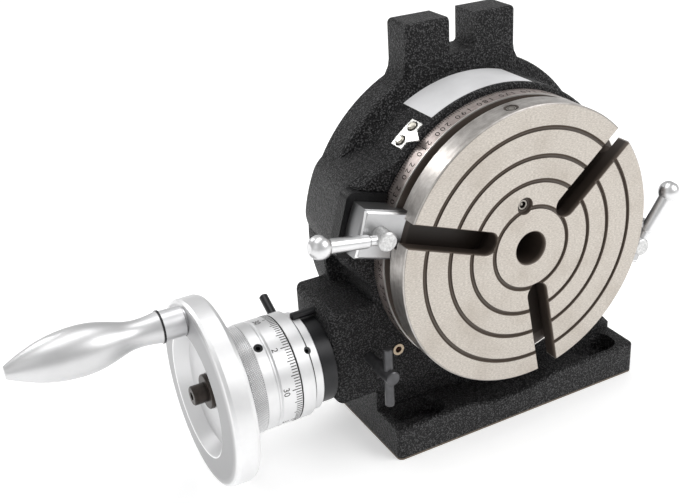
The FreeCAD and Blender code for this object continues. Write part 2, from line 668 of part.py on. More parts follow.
def rotary_table():
    """T-slotted table with its locating step, bored for the spindle's spigot."""
    e, r = TABLE_EDGE, TABLE_R
    inner = r - RIM_GROOVE_DEEP
    floor = LOCATOR_REAR - SPIGOT_L
    points = ring_groove_outline()
    points += [(TAPER_R + TAPER_EDGE, 0), (TAPER_R, TAPER_EDGE), (taper_radius(floor), floor),
               (SPIGOT_R, floor), (SPIGOT_R, LOCATOR_REAR), (LOCATOR_R, LOCATOR_REAR),
               (LOCATOR_R, TABLE_THICK), (r - e, TABLE_THICK), (r, TABLE_THICK - e), (r, SHOULDER),
               (inner, SHOULDER), (inner, FRONT_BAND), (r, FRONT_BAND), (r, e), (r - e, 0)]
    shape = table_turned(points)
    cuts = tslot_cuts()
    oiler = table_point(FACE_OILER_RING, FACE_OILER_ANGLE, 0)
    cuts.append(rod(OILER_POCKET_R, oiler - Vector(0, 1, 0), oiler + Vector(0, OILER_POCKET_DEEP, 0)))
    cuts.append(rod(OILER_R, oiler, oiler + Vector(0, OILER_POCKET_DEEP + OILER_LENGTH, 0)))
    middle = FRONT_BAND / 2
    for radius, depth in ((PLUG_R, PLUG_LENGTH), (PLUG_POCKET_R, PLUG_POCKET_DEEP)):
        cuts.append(rod(radius, table_point(r - depth, PLUG_ANGLE, middle),
                        table_point(r + 1, PLUG_ANGLE, middle)))
    cuts += [rod(WHEEL_SCREW_R, p - Vector(0, WHEEL_SCREW_GRIP, 0), p)
             for p in spindle_screw_places(LOCATOR_REAR)]
    save("rotary_table", shape.cut(cuts))


def spindle_screw_places(depth):
    """Centres of the screws that hold the spindle to the table, between those of the wheel."""
    return [turned_to(Part.Vertex(p), SPINDLE_SCREW_TURN).Point for p in wheel_screw_places(depth)]


def table_spindle():
    """Spindle with a spigot and flange that are screwed to the back of the table."""
    front = LOCATOR_REAR - SPIGOT_L
    back = FACE_TO_BACK - 1
    points = [(taper_radius(front), front), (taper_radius(TAPER_LENGTH), TAPER_LENGTH),
              (taper_radius(back), back), (SPINDLE_THREAD_R, back),
              (SPINDLE_THREAD_R, SPINDLE_SHOULDER), (SPINDLE_R, SPINDLE_SHOULDER),
              (SPINDLE_R, WHEEL_REAR), (WHEEL_BORE_R, WHEEL_REAR), (WHEEL_BORE_R, WHEEL_FRONT),
              (HUB_R, WHEEL_FRONT), (HUB_R, LOCATOR_REAR), (SPIGOT_R, LOCATOR_REAR),
              (SPIGOT_R, front)]
    flange = WHEEL_FRONT - LOCATOR_REAR
    cuts = [rod(WHEEL_SCREW_R, p - Vector(0, flange + 1, 0), p + Vector(0, 1, 0))
            for p in wheel_screw_places(WHEEL_FRONT)]
    screws = []
    for p in spindle_screw_places(WHEEL_FRONT):
        seat = p - Vector(0, WHEEL_SCREW_HEAD_H, 0)
        cuts.append(rod(WHEEL_SCREW_R + SCREW_GAP, seat - Vector(0, flange, 0), seat))
        cuts.append(rod(WHEEL_SCREW_HEAD_R + SCREW_GAP, seat, p + Vector(0, 1, 0)))
        reach = flange - WHEEL_SCREW_HEAD_H + WHEEL_SCREW_GRIP - 1
        screws.append(rod(WHEEL_SCREW_HEAD_R, seat, p).fuse(
            rod(WHEEL_SCREW_R, seat - Vector(0, reach, 0), seat)))
    save("table_spindle", table_turned(points).cut(cuts))
    save("spindle_screws", Part.makeCompound([s.Solids[0] for s in screws]))


def wheel_screw_places(depth):
    """Centres of the worm wheel's screws at a depth."""
    return [table_point(WHEEL_SCREW_RING, 45 + 360.0 * i / WHEEL_SCREWS, depth)
            for i in range(WHEEL_SCREWS)]


def tooth_outline(depth, turn):
    """Outline of the worm wheel's teeth at a depth, turned by an angle in radians."""
    half = GEAR_MODULE * math.pi / 4 - FLANK_GAP / 2
    slope = math.tan(math.radians(PRESSURE_ANGLE))
    root = GEAR_MODULE + ROOT_CLEARANCE
    corners = []
    for i in range(WHEEL_TEETH):
        middle = -math.pi / 2 + turn + 2 * math.pi * (i + 0.5) / WHEEL_TEETH
        for side, rise in ((-1, -root), (-1, GEAR_MODULE), (1, GEAR_MODULE), (1, -root)):
            radius = WHEEL_PITCH_R + rise
            angle = middle + side * (half - rise * slope) / radius
            corners.append(AXIS + Vector(radius * math.cos(angle), depth, radius * math.sin(angle)))
    return Part.makePolygon(corners + corners[:1])


def worm_wheel():
    """Toothed ring, its teeth slanted to follow the worm's thread."""
    slant = GEAR_MODULE / 2 / WORM_PITCH_R * WHEEL_WIDTH / WHEEL_PITCH_R / 2
    blank = Part.makeLoft([tooth_outline(WHEEL_FRONT, slant), tooth_outline(WHEEL_REAR, -slant)],
                          True, True)
    bore = table_turned([(0, WHEEL_FRONT - 1), (WHEEL_BORE_R, WHEEL_FRONT - 1),
                         (WHEEL_BORE_R, WHEEL_REAR + 1), (0, WHEEL_REAR + 1)])
    cuts = [bore]
    for p in wheel_screw_places(WHEEL_REAR):
        cuts.append(rod(WHEEL_SCREW_R + SCREW_GAP, p - Vector(0, WHEEL_WIDTH + 1, 0), p))
        cuts.append(rod(WHEEL_SCREW_HEAD_R + SCREW_GAP, p - Vector(0, WHEEL_SCREW_HEAD_H, 0),
                        p + Vector(0, 1, 0)))
    save("worm_wheel", blank.cut(cuts))
    screws = []
    for p in wheel_screw_places(WHEEL_REAR):
        seat = p - Vector(0, WHEEL_SCREW_HEAD_H, 0)
        head = rod(WHEEL_SCREW_HEAD_R, seat, p)
        reach = WHEEL_WIDTH - WHEEL_SCREW_HEAD_H + WHEEL_FRONT - LOCATOR_REAR - 1
        screws.append(head.fuse(rod(WHEEL_SCREW_R, seat - Vector(0, reach, 0), seat)))
    save("worm_wheel_screws", Part.makeCompound([s.Solids[0] for s in screws]))


def spindle_bearing():
    """Bronze bush, thrust washer and slotted locknut behind the table."""
    save("spindle_bush", table_turned(ring(SPINDLE_R + BUSH_WALL, SPINDLE_R + RUN_GAP,
                                           CAVITY_REAR, REAR_SHELF)))
    begin = SPINDLE_SHOULDER + WASHER_T
    save("thrust_washer", table_turned(ring(WASHER_R, SPINDLE_THREAD_R, SPINDLE_SHOULDER, begin)))
    nut = table_turned(ring(LOCKNUT_R, SPINDLE_THREAD_R, begin, begin + LOCKNUT_T, 0.8))
    cuts = []
    for i in range(4):
        notch = Part.makeBox(2 * LOCKNUT_SLOT_DEEP, LOCKNUT_T + 2, LOCKNUT_SLOT,
                             AXIS + Vector(LOCKNUT_R - LOCKNUT_SLOT_DEEP, begin - 1,
                                           -LOCKNUT_SLOT / 2))
        cuts.append(turned_to(notch, 90.0 * i))
    save("spindle_locknut", nut.cut(cuts))


def sleeve_window():
    """The sector of the sleeve that is cut away, so that it clears the wheel in every position."""
    reach = WHEEL_TIP_R + SIDE_GAP
    rise = (CENTRE_HEIGHT - reach) - SLEEVE_Z
    front = SLEEVE_Y - (FACE_Y + WHEEL_FRONT)
    rear = (FACE_Y + WHEEL_REAR) - SLEEVE_Y
    ahead = math.degrees(math.atan2(front, rise)) + WINDOW_MARGIN
    behind = math.degrees(math.atan2(rear, rise)) + WINDOW_MARGIN + SLEEVE_THROW
    far = SLEEVE_R * 2.2
    steps = 6
    corners = [Vector(-SLEEVE_WINDOW, SLEEVE_Y, SLEEVE_Z)]
    for i in range(steps + 1):
        a = math.radians(-ahead + (ahead + behind) * i / steps)
        corners.append(Vector(-SLEEVE_WINDOW, SLEEVE_Y + far * math.sin(a),
                              SLEEVE_Z + far * math.cos(a)))
    face = Part.Face(Part.makePolygon(corners + corners[:1]))
    return face.extrude(Vector(2 * SLEEVE_WINDOW, 0, 0))


def sleeve_point(radius, angle, reach):
    """A point round the sleeve's own axis. The angle runs from up towards the front."""
    a = math.radians(angle)
    return Vector(-reach, SLEEVE_Y - radius * math.sin(a), SLEEVE_Z + radius * math.cos(a))


def collar_screw_places(reach):
    """Centres of the stop collar's screws, spread over the thick side of its wall."""
    middle = (COLLAR_SCREWS - 1) / 2
    return [sleeve_point(COLLAR_SCREW_RING, ECCENTRIC_START + (i - middle) * COLLAR_SCREW_STEP,
                         reach) for i in range(COLLAR_SCREWS)]


def stop_collar():
    """Fixed collar round the sleeve, its screws and the pin that limits the lever."""
    collar = shaft_turned(ring(COLLAR_R, 0, HOUSING_REACH, COLLAR_END, 0.3))
    cuts = [rod(SLEEVE_R + RUN_GAP, sleeve_point(0, 0, HOUSING_REACH - 1),
                sleeve_point(0, 0, COLLAR_END + 1))]
    screws = []
    for low, high in zip(collar_screw_places(HOUSING_REACH - 1), collar_screw_places(COLLAR_END)):
        seat = high + Vector(COLLAR_SCREW_HEAD_H + 0.3, 0, 0)
        cuts.append(rod(COLLAR_SCREW_R + SCREW_GAP, low, high))
        cuts.append(rod(COLLAR_SCREW_HEAD_R + SCREW_GAP, seat, high - Vector(1, 0, 0)))
        head = rod(COLLAR_SCREW_HEAD_R, seat - Vector(COLLAR_SCREW_HEAD_H, 0, 0), seat)
        screws.append(head.fuse(rod(COLLAR_SCREW_R, seat, seat + Vector(COLLAR_SCREW_L, 0, 0))))
    save("stop_collar", collar.cut(cuts))
    save("stop_collar_screws", Part.makeCompound([s.Solids[0] for s in screws]))
    pin = shaft_point(STOP_PIN_RISE, 0, HOUSING_REACH)
    tip = pin - Vector(STOP_PIN_OUT, 0, 0)
    stop = rod(STOP_PIN_R, pin + Vector(STOP_PIN_DEEP - 0.5, 0, 0), tip)
    save("stop_pin", rounded(stop, STOP_PIN_ROUND,
                             lambda e: (e.CenterOfMass - tip).Length < 1e-3))


def stop_notch():
    """Way for the stop pin through the clamp ring, as the ring turns round the sleeve's axis."""
    pin = shaft_point(STOP_PIN_RISE, 0, HOUSING_REACH)
    ahead, rise = SLEEVE_Y - pin.y, pin.z - SLEEVE_Z
    reach = math.hypot(ahead, rise)
    start = math.degrees(math.atan2(ahead, rise))
    low = reach - STOP_PIN_R - NOTCH_GAP
    middle = sleeve_point(0, 0, COLLAR_END)
    slot = Part.makeCylinder(2 * reach, 3 * CLAMP_RING_L, middle, Vector(-1, 0, 0))
    slot = slot.cut(Part.makeCylinder(low, 3 * CLAMP_RING_L, middle, Vector(-1, 0, 0)))
    edge = start + math.degrees(STOP_PIN_R / reach)
    steps = 8
    corners = [middle]
    for i in range(steps + 1):
        corners.append(sleeve_point(2 * reach, edge - NOTCH_TURN * i / steps, COLLAR_END))
    sector = Part.Face(Part.makePolygon(corners + corners[:1]))
    return slot.common(sector.extrude(Vector(-3 * CLAMP_RING_L, 0, 0)))


def eccentric_sleeve():
    """Sleeve with an offset bore and a nose outside the collar for the rings."""
    body = rod(SLEEVE_R, sleeve_point(0, 0, COLLAR_END), sleeve_point(0, 0, -SLEEVE_END))
    neck = SLEEVE_R - ECCENTRICITY - SIDE_GAP
    nose = shaft_turned([(0, COLLAR_END - 1), (neck, COLLAR_END - 1), (neck, CLAMP_RING_START),
                         (SLEEVE_NOSE_R, CLAMP_RING_START), (SLEEVE_NOSE_R, NOSE_END),
                         (0, NOSE_END)])
    relief = WORM_TIP_R + WORM_RELIEF
    inner = WORM_THREADED / 2 + 4
    bores = shaft_turned([(0, -SLEEVE_END - 1), (JOURNAL_FAR_R + RUN_GAP, -SLEEVE_END - 1),
                          (JOURNAL_FAR_R + RUN_GAP, -FAR_SHOULDER),
                          (relief, -FAR_SHOULDER), (relief, inner),
                          (WORM_TIP_R + RUN_GAP, inner),
                          (WORM_TIP_R + RUN_GAP, NOSE_END + 1), (0, NOSE_END + 1)])
    shape = body.fuse(nose).cut([bores, sleeve_window()])
    deep = rod(RING_SCREW_R, shaft_point(SLEEVE_NOSE_R - 2, RING_SCREW_ANGLE, RING_JOINT),
               shaft_point(SLEEVE_NOSE_R + 2, RING_SCREW_ANGLE, RING_JOINT))
    socket = rod(LEVER_ROOT_R, shaft_point(SLEEVE_NOSE_R - 3, LEVER_ANGLE, RING_MIDDLE),
                 shaft_point(SLEEVE_NOSE_R + 2, LEVER_ANGLE, RING_MIDDLE))
    save("eccentric_sleeve", shape.cut([deep, socket]))


def sleeve_rings():
    """Clamp ring with its set screw, vernier ring and release lever on the sleeve's nose."""
    root = shaft_point(SLEEVE_NOSE_R - 3, LEVER_ANGLE, RING_MIDDLE)
    seat = shaft_point(CLAMP_RING_R, LEVER_ANGLE, RING_MIDDLE)
    tip = shaft_point(LEVER_REACH, LEVER_ANGLE, RING_MIDDLE)
    screw_root = shaft_point(SLEEVE_NOSE_R - 2, RING_SCREW_ANGLE, RING_JOINT)
    screw_top = shaft_point(CLAMP_RING_R - RING_SCREW_SUNK, RING_SCREW_ANGLE, RING_JOINT)
    hole = rod(RING_SCREW_R, screw_root, shaft_point(VERNIER_R + 2, RING_SCREW_ANGLE, RING_JOINT))
    clamp = shaft_turned(ring(CLAMP_RING_R, SLEEVE_NOSE_R, CLAMP_RING_START, CLAMP_RING_END, 0.4))
    save("clamp_ring", clamp.cut([hole, stop_notch(),
                                  rod(LEVER_ROOT_R, root, seat + (seat - root))]))
    save("clamp_ring_screw", rod(RING_SCREW_R, screw_root, screw_top))
    vernier = shaft_turned(ring(VERNIER_R, SLEEVE_NOSE_R, VERNIER_START, VERNIER_END,
                                VERNIER_EDGE))
    save("vernier_ring", vernier.cut(hole))
    lever = rod(LEVER_R, seat, tip)
    lever = lever.makeChamfer(LEVER_EDGE, [e for e in lever.Edges
                                           if (e.CenterOfMass - tip).Length < 1e-3])
    save("release_lever", lever.fuse(rod(LEVER_ROOT_R, root, seat)))


def worm_thread():
    """One thread of the worm, swept along its helix and trimmed square at both ends."""
    pitch = math.pi * GEAR_MODULE
    half = pitch / 4 - FLANK_GAP / 2
    slope = math.tan(math.radians(PRESSURE_ANGLE))
    root = GEAR_MODULE + ROOT_CLEARANCE
    foot_half = half + root * slope
    tip_half = half - GEAR_MODULE * slope
    turns = math.ceil(WORM_THREADED / pitch) + 2
    start = -turns * pitch / 2
    helix = Part.makeHelix(pitch, turns * pitch, WORM_PITCH_R)
    helix.translate(Vector(0, 0, start))
    low = WORM_ROOT_R - 0.3
    profile = Part.makePolygon([Vector(low, 0, start - foot_half), Vector(WORM_TIP_R, 0,
                               start - tip_half), Vector(WORM_TIP_R, 0, start + tip_half),
                               Vector(low, 0, start + foot_half),
                               Vector(low, 0, start - foot_half)])
    thread = Part.Wire(helix).makePipeShell([profile], True, True)
    keep = Part.makeCylinder(WORM_TIP_R + 1, WORM_THREADED, Vector(0, 0, -WORM_THREADED / 2))
    thread = thread.common(keep)
    to_x = FreeCAD.Matrix(0, 0, 1, 0, 0, 1, 0, WORM_Y, -1, 0, 0, WORM_Z, 0, 0, 0, 1)
    quarter = FreeCAD.Rotation(Vector(0, 0, 1), 180 + 360.0 * ((turns % 2) / 2))
    thread.Placement = FreeCAD.Placement(Vector(0, 0, 0), quarter)
    return thread.transformGeometry(to_x)


def worm_shaft():
    """Worm cut on its shaft, with both journals and the steps for the dial and handwheel."""
    half = WORM_THREADED / 2
    shoulder = FAR_SHOULDER - FACE_GAP
    core = shaft_turned([
        (0, -SLEEVE_END + 1), (JOURNAL_FAR_R, -SLEEVE_END + 1), (JOURNAL_FAR_R, -shoulder),
        (WORM_ROOT_R, -shoulder), (WORM_ROOT_R, half + 3), (WORM_TIP_R, half + 4),
        (WORM_TIP_R, NOSE_END - 0.1), (SHAFT_R, NOSE_END - 0.1), (SHAFT_R, HUB_START),
        (SHAFT_END_R, HUB_START), (SHAFT_END_R, SHAFT_END), (0, SHAFT_END)])
    shape = core.fuse(worm_thread())
    tapped = shaft_turned([(0, SHAFT_END - END_SCREW_L), (END_SCREW_R, SHAFT_END - END_SCREW_L),
                           (END_SCREW_R, SHAFT_END + 1), (0, SHAFT_END + 1)])
    save("worm_shaft", shape.cut([tapped, key_block()]))


def key_block():
    """The handwheel key, half in the shaft and half in the wheel."""
    return Part.makeBox(KEY_L, KEY_W, KEY_H, Vector(-HUB_START - 1 - KEY_L, WORM_Y - KEY_W / 2,
                                                    WORM_Z + SHAFT_END_R - KEY_H / 2))


def dial():
    """Graduated dial with a waist, a set-screw band and a knurled band."""
    r, g = DIAL_R, DIAL_GRIP_R
    waist = r - DIAL_WAIST_DEEP
    bore = SHAFT_R + RUN_GAP
    outline = [(bore, DIAL_START), (r - 0.3, DIAL_START), (r, DIAL_START + 0.3),
               (r, WAIST_START), (waist, WAIST_START + DIAL_WAIST_SLOPE),
               (waist, SCREW_BAND_START - DIAL_WAIST_SLOPE), (r, SCREW_BAND_START),
               (r, KNURL_START), (g, KNURL_START + 0.3),
               (g, DIAL_END - 0.8), (g - 0.8, DIAL_END), (r - DIAL_WALL, DIAL_END),
               (r - DIAL_WALL, WAIST_START), (DIAL_HUB_R, WAIST_START), (DIAL_HUB_R, DIAL_END),
               (bore, DIAL_END)]
    middle = (SCREW_BAND_START + KNURL_START) / 2
    mouth = shaft_point(r + 1, DIAL_SCREW_ANGLE, middle)
    top = shaft_point(r - 0.6, DIAL_SCREW_ANGLE, middle)
    tip = shaft_point(SHAFT_R + SIDE_GAP, DIAL_SCREW_ANGLE, middle)
    save("graduated_dial", shaft_turned(outline).cut(rod(DIAL_SCREW_R, tip, mouth)))
    save("dial_set_screw", rod(DIAL_SCREW_R, tip, top))
    save("thrust_collar", shaft_turned(ring(THRUST_R, SHAFT_R, NOSE_END + FACE_GAP,
                                            NOSE_END + FACE_GAP + THRUST_T, 0.4)))


def handwheel():
    """Dished wheel with a solid web, a hub behind it and a seat for the crank handle."""
    r, k = WHEEL_R, WHEEL_ROUND
    f, b = WHEEL_FACE, WHEEL_BACK
    back = b + WHEEL_BACK_DEEP
    outline = [(SHAFT_END_R, HUB_START), (WHEEL_HUB_R - 1, HUB_START), (WHEEL_HUB_R, HUB_START + 1),
               (WHEEL_HUB_R, b), (WHEEL_BACK_IN - 1, b), (WHEEL_BACK_IN, b + 1),
               (WHEEL_BACK_IN + 1, back), (WHEEL_BACK_OUT - 1, back), (WHEEL_BACK_OUT, b),
               (r - k, b), (r - 0.3 * k, b + 0.3 * k), (r, b + k), (r, f - k),
               (r - 0.3 * k, f - 0.3 * k), (r - k, f), (DISH_R + 1, f + WHEEL_CROWN),
               (DISH_R, f + WHEEL_CROWN - 0.4), (DISH_FLOOR_R, DISH_FLOOR),
               (SHAFT_END_R, DISH_FLOOR)]
    centre = shaft_point(CRANK_RING, CRANK_ANGLE, 0)
    left = Vector(-1, 0, 0)
    boss = Part.makeCylinder(CRANK_BOSS_R, WHEEL_BACK_DEEP + 1, centre + left * (b + 0.5), left)
    boss = boss.common(shaft_turned([(0, b), (WHEEL_BACK_OUT + 1, b), (WHEEL_BACK_OUT + 1, f),
                                     (0, f)]))
    hole = Part.makeCylinder(SPINDLE_PIN_R, WHEEL_T + 4, centre + left * (b - 1), left)
    seat = Part.makeCylinder(FERRULE_R + SCREW_GAP, WHEEL_CROWN + 1, centre + left * f, left)
    keyway = Part.makeBox(KEY_L + 3, KEY_W, KEY_H + 0.3, Vector(-HUB_START - 1 - KEY_L,
                          WORM_Y - KEY_W / 2, WORM_Z + SHAFT_END_R - KEY_H / 2))
    save("handwheel", shaft_turned(outline).fuse(boss).cut([hole, seat, keyway]))
    save("handwheel_key", key_block())
    under = DISH_FLOOR + END_WASHER_T
    save("end_washer", shaft_turned(ring(END_WASHER_R, END_SCREW_R + SCREW_GAP, DISH_FLOOR,
                                         under, 0.4)))
    foot = SHAFT_END - END_SCREW_L + 2
    top = under + END_SCREW_HEAD_H
    screw = shaft_turned([(0, foot), (END_SCREW_R, foot), (END_SCREW_R, under),
                          (END_SCREW_HEAD_R, under), (END_SCREW_HEAD_R, top - 0.5),
                          (END_SCREW_HEAD_R - 0.5, top), (0, top)])
    flat = END_SCREW_SOCKET / math.sqrt(3)
    corners = [shaft_point(flat, 60 * i, top + 1) for i in range(6)]
    socket = Part.Face(Part.makePolygon(corners + corners[:1])).extrude(Vector(
        1 + END_SCREW_HEAD_H / 2, 0, 0))
    save("end_screw", screw.cut(socket))


def crank_handle():
    """Fixed ferrule on a spindle, and a grip that turns on it."""
    centre = shaft_point(CRANK_RING, CRANK_ANGLE, 0)
    left, up = Vector(-1, 0, 0), Vector(0, 0, 1)
    start = WHEEL_FACE + FERRULE_SEAT
    end, tip = FERRULE_END, GRIP_TIP
    pin, small, ferrule = SPINDLE_PIN_R, SPINDLE_TIP_R, FERRULE_R
    root = WHEEL_BACK + 0.5
    cone = tip - SPINDLE_TIP_L - SPINDLE_CONE_L
    save("handle_spindle", turned([
        (0, root), (pin, root), (pin, WHEEL_FACE), (ferrule - 1, WHEEL_FACE), (ferrule - 1, start),
        (ferrule - 0.4, start), (ferrule, start + 0.4), (ferrule, end), (pin, end), (pin, cone),
        (small, cone + SPINDLE_CONE_L), (small, tip), (0, tip)], centre, left, up))
    save("handle_ring", turned([(pin, end), (GRIP_RING_R, end), (GRIP_RING_R, GRIP_START),
                                (pin, GRIP_START)], centre, left, up))
    curve = Part.BSplineCurve()
    begin = GRIP_START + FACE_GAP
    curve.interpolate([centre + up * r + left * (begin + share * (tip - begin))
                       for share, r in GRIP_PROFILE])
    shoulder = cone + FACE_GAP
    bore = [(GRIP_PROFILE[-1][1], tip), (small + RUN_GAP, tip),
            (small + RUN_GAP, shoulder + SPINDLE_CONE_L), (pin + RUN_GAP, shoulder),
            (pin + RUN_GAP, begin), (GRIP_PROFILE[0][1], begin)]
    corners = [centre + up * r + left * s for r, s in bore]
    edges = [Part.LineSegment(a, b).toShape() for a, b in zip(corners, corners[1:])]
    outline = Part.Wire(Part.__sortEdges__([curve.toShape()] + edges))
    save("crank_grip", Part.Face(outline).revolve(centre, left, 360))


def clamp_block(side):
    """Block whose lip reaches into the table's rim groove, with bevelled front edges."""
    inner = TABLE_R - RIM_GROOVE_DEEP + BLOCK_TIP_GAP
    w, c = BLOCK_HALF_W, BLOCK_CHAMFER
    block = slab([(inner - 2, -w), (BLOCK_REACH + 3, -w), (BLOCK_REACH + 3, w), (inner - 2, w)],
                 BLOCK_FRONT, BLOCK_FOOT)
    front = FACE_Y + BLOCK_FRONT + 1e-3
    block = block.makeChamfer(c, [e for e in block.Edges if e.BoundBox.YMax < front
                                  and along(e, Vector(1, 0, 0))])
    keep = table_turned([(inner, BLOCK_FRONT - 1), (BLOCK_REACH - c, BLOCK_FRONT - 1),
                         (BLOCK_REACH - c, BLOCK_FRONT), (BLOCK_REACH, BLOCK_FRONT + c),
                         (BLOCK_REACH, BLOCK_FOOT + 1), (inner, BLOCK_FOOT + 1)])
    under = TABLE_R + EAR_CLEAR
    relief = table_turned([(0, SHOULDER - BLOCK_TRAVEL), (under, SHOULDER - BLOCK_TRAVEL),
                           (under, BLOCK_FOOT + 1), (0, BLOCK_FOOT + 1)])
    axis = AXIS + Vector(CLAMP_RING, 0, 0)
    hole = rod(CLAMP_SCREW_R + RUN_GAP, axis, axis + Vector(0, FACE_TO_BACK, 0))
    save(side + "_clamp_block", turned_to(block.common(keep).cut([relief, hole]),
                                          clamp_turn(side)))


def clamp_screw(side, rod_angle):
    """Clamp screw with its round hub, and the ball lever pressed into the hub."""
    turn = clamp_turn(side)
    front = table_point(CLAMP_RING, turn, HUB_FRONT)
    back = table_point(CLAMP_RING, turn, BLOCK_FRONT - FACE_GAP)
    end = table_point(CLAMP_RING, turn, EAR_FRONT + CLAMP_SCREW_DEEP)
    hub = rod(CLAMP_HUB_R, front, back)
    hub = hub.makeChamfer(0.7, [e for e in hub.Edges if (e.CenterOfMass - front).Length < 1e-3])
    hub = hub.fuse(rod(CLAMP_SCREW_R, back, end))
    a = math.radians(rod_angle)
    way, across = Vector(math.cos(a), 0, math.sin(a)), Vector(-math.sin(a), 0, math.cos(a))
    axis = table_point(CLAMP_RING, turn, HUB_FRONT + CLAMP_HUB_L / 2)
    out, ball = CLAMP_BALL_OUT, CLAMP_BALL_R
    seat = out - math.sqrt(ball ** 2 - CLAMP_ROD_END_R ** 2)
    flat = ball - CLAMP_BALL_FLAT
    tip_r = math.sqrt(ball ** 2 - flat ** 2)
    points = [(0, CLAMP_NECK_START), (CLAMP_NECK_R, CLAMP_NECK_START),
              (CLAMP_NECK_R, CLAMP_NECK_END), (CLAMP_ROD_R, CLAMP_NECK_END + 1),
              (CLAMP_ROD_END_R, seat)]
    corners = [axis + across * r + way * s for r, s in points]
    edges = [Part.LineSegment(p, q).toShape() for p, q in zip(corners, corners[1:])]
    high, tip = axis + across * ball + way * out, axis + across * tip_r + way * (out + flat)
    edges.append(Part.Arc(corners[-1], high, tip).toShape())
    middle = axis + way * (out + flat)
    edges.append(Part.LineSegment(tip, middle).toShape())
    edges.append(Part.LineSegment(middle, corners[0]).toShape())
    lever = Part.Face(Part.Wire(Part.__sortEdges__(edges))).revolve(axis, way, 360)
    hole = rod(CLAMP_NECK_R, axis + way * CLAMP_NECK_START, axis + way * 2 * CLAMP_HUB_R)
    save(side + "_clamp_screw", hub.cut(hole))
    save(side + "_clamp_lever", lever)


def lock_screw():
    """Screw with a cross bar that grips the eccentric sleeve, tipped with a soft pad."""
    face = Vector(LOCK_X, FRONT_WALL_Y, LOCK_Z)
    front = face - Vector(0, LOCK_OUT, 0)
    back = front + Vector(0, LOCK_HEAD_L, 0)
    rise = face.z - SLEEVE_Z + LOCK_THREAD_R
    touch = SLEEVE_Y - math.sqrt(SLEEVE_R ** 2 - (rise - 2 * LOCK_THREAD_R) ** 2) - SIDE_GAP
    tip = Vector(face.x, touch - LOCK_PAD_L, face.z)
    head = rod(LOCK_HEAD_R, front, back)
    head = head.makeChamfer(0.5, [e for e in head.Edges if (e.CenterOfMass - front).Length < 1e-3])
    middle = front + Vector(0, LOCK_BAR_BACK, -LOCK_BAR_SLIP)
    half = Vector(0, 0, LOCK_BAR_L / 2)
    bar = rod(LOCK_BAR_R, middle - half, middle + half)
    save("lock_screw", head.fuse(rod(LOCK_THREAD_R, back, tip)).cut(bar))
    save("lock_screw_bar", bar.makeFillet(0.8, [e for e in bar.Edges if len(e.Vertexes) == 1]))
    save("lock_pad", rod(LOCK_THREAD_R - SCREW_GAP, tip, Vector(face.x, touch, face.z)))


def ball_oiler(name, mouth, proud):
    """A pressed-in oiler: a cup with a ball in its mouth, its lip proud of its seat or flush."""
    lip = OILER_R + 0.2 if proud else OILER_R
    out = -0.6 if proud else 0.0
    cup = turned([(0, out + 1.2), (1.5, out + 1.2), (1.8, out), (lip, out), (lip, 0), (OILER_R, 0),
                  (OILER_R, OILER_LENGTH - 0.5), (0, OILER_LENGTH - 0.5)] if proud else
                 [(0, 1.2), (1.5, 1.2), (1.8, 0), (OILER_R, 0), (OILER_R, OILER_LENGTH - 0.5),
                  (0, OILER_LENGTH - 0.5)], mouth, Vector(0, 1, 0), Vector(1, 0, 0))
    save(name, cup.fuse(Part.makeSphere(1.2, mouth + Vector(0, out + 1.6, 0))))


def oilers_and_plug():
    mouth = table_point(BODY_OILER_RING, BODY_OILER_ANGLE, SEAT_DEPTH)
    ball_oiler("body_oiler", mouth, True)
    ball_oiler("table_oiler", table_point(FACE_OILER_RING, FACE_OILER_ANGLE, OILER_POCKET_DEEP),
               False)
    low = table_point(TABLE_R - PLUG_LENGTH, PLUG_ANGLE, FRONT_BAND / 2)
    high = table_point(TABLE_R - 0.4, PLUG_ANGLE, FRONT_BAND / 2)
    save("rim_plug", rod(PLUG_R, low, high))


def pointer_screw_places():
    """Angle and depth of the two screws that hold the index pointer."""
    half = math.degrees(POINTER_SCREW_SPACING / 2 / DRUM_R)
    depth = SEAT_DEPTH + POINTER_BACK + POINTER_L / 2
    return [(POINTER_ANGLE - half, depth), (POINTER_ANGLE + half, depth)]


def index_pointer():
    """Bent plate with a pointed tongue that reaches over the graduated band."""
    front = SEAT_DEPTH + POINTER_BACK
    shell = table_turned(ring(DRUM_R + POINTER_T, DRUM_R, front - POINTER_TIP - 1,
                              front + POINTER_L + 1))
    w, t = POINTER_W / 2, POINTER_TIP_W / 2
    plan = [(0, front - POINTER_TIP), (t, front), (w, front), (w, front + POINTER_L),
            (-w, front + POINTER_L), (-w, front), (-t, front)]
    corners = [AXIS + Vector(DRUM_R - 2, d, x) for x, d in plan]
    prism = Part.Face(Part.makePolygon(corners + corners[:1])).extrude(Vector(6, 0, 0))
    plate = shell.common(turned_to(prism, POINTER_ANGLE))
    screws = []
    for angle, depth in pointer_screw_places():
        low = table_point(DRUM_R - POINTER_SCREW_L + 0.5, angle, depth)
        seat = table_point(DRUM_R + POINTER_T + 0.02, angle, depth)
        top = table_point(DRUM_R + POINTER_T + POINTER_SCREW_HEAD_H, angle, depth)
        head = rod(POINTER_SCREW_HEAD_R, seat, top)
        head = head.makeFillet(0.9, [e for e in head.Edges
                                     if (e.CenterOfMass - top).Length < 1e-3])
        screws.append(head.fuse(rod(POINTER_SCREW_R, low, seat)))
        plate = plate.cut(rod(POINTER_SCREW_R, low, top))
    save("index_pointer", plate)
    save("pointer_screws", Part.makeCompound([s.Solids[0] for s in screws]))


body_casting()
rotary_table()
table_spindle()
worm_wheel()
spindle_bearing()
stop_collar()
eccentric_sleeve()
sleeve_rings()
worm_shaft()
dial()
handwheel()
crank_handle()
clamp_block("left")
clamp_screw("left", LEFT_ROD_ANGLE)
clamp_block("right")
clamp_screw("right", RIGHT_ROD_ANGLE)
lock_screw()
oilers_and_plug()
index_pointer()
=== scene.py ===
import json
import math

import bpy
from mathutils import Matrix, Vector

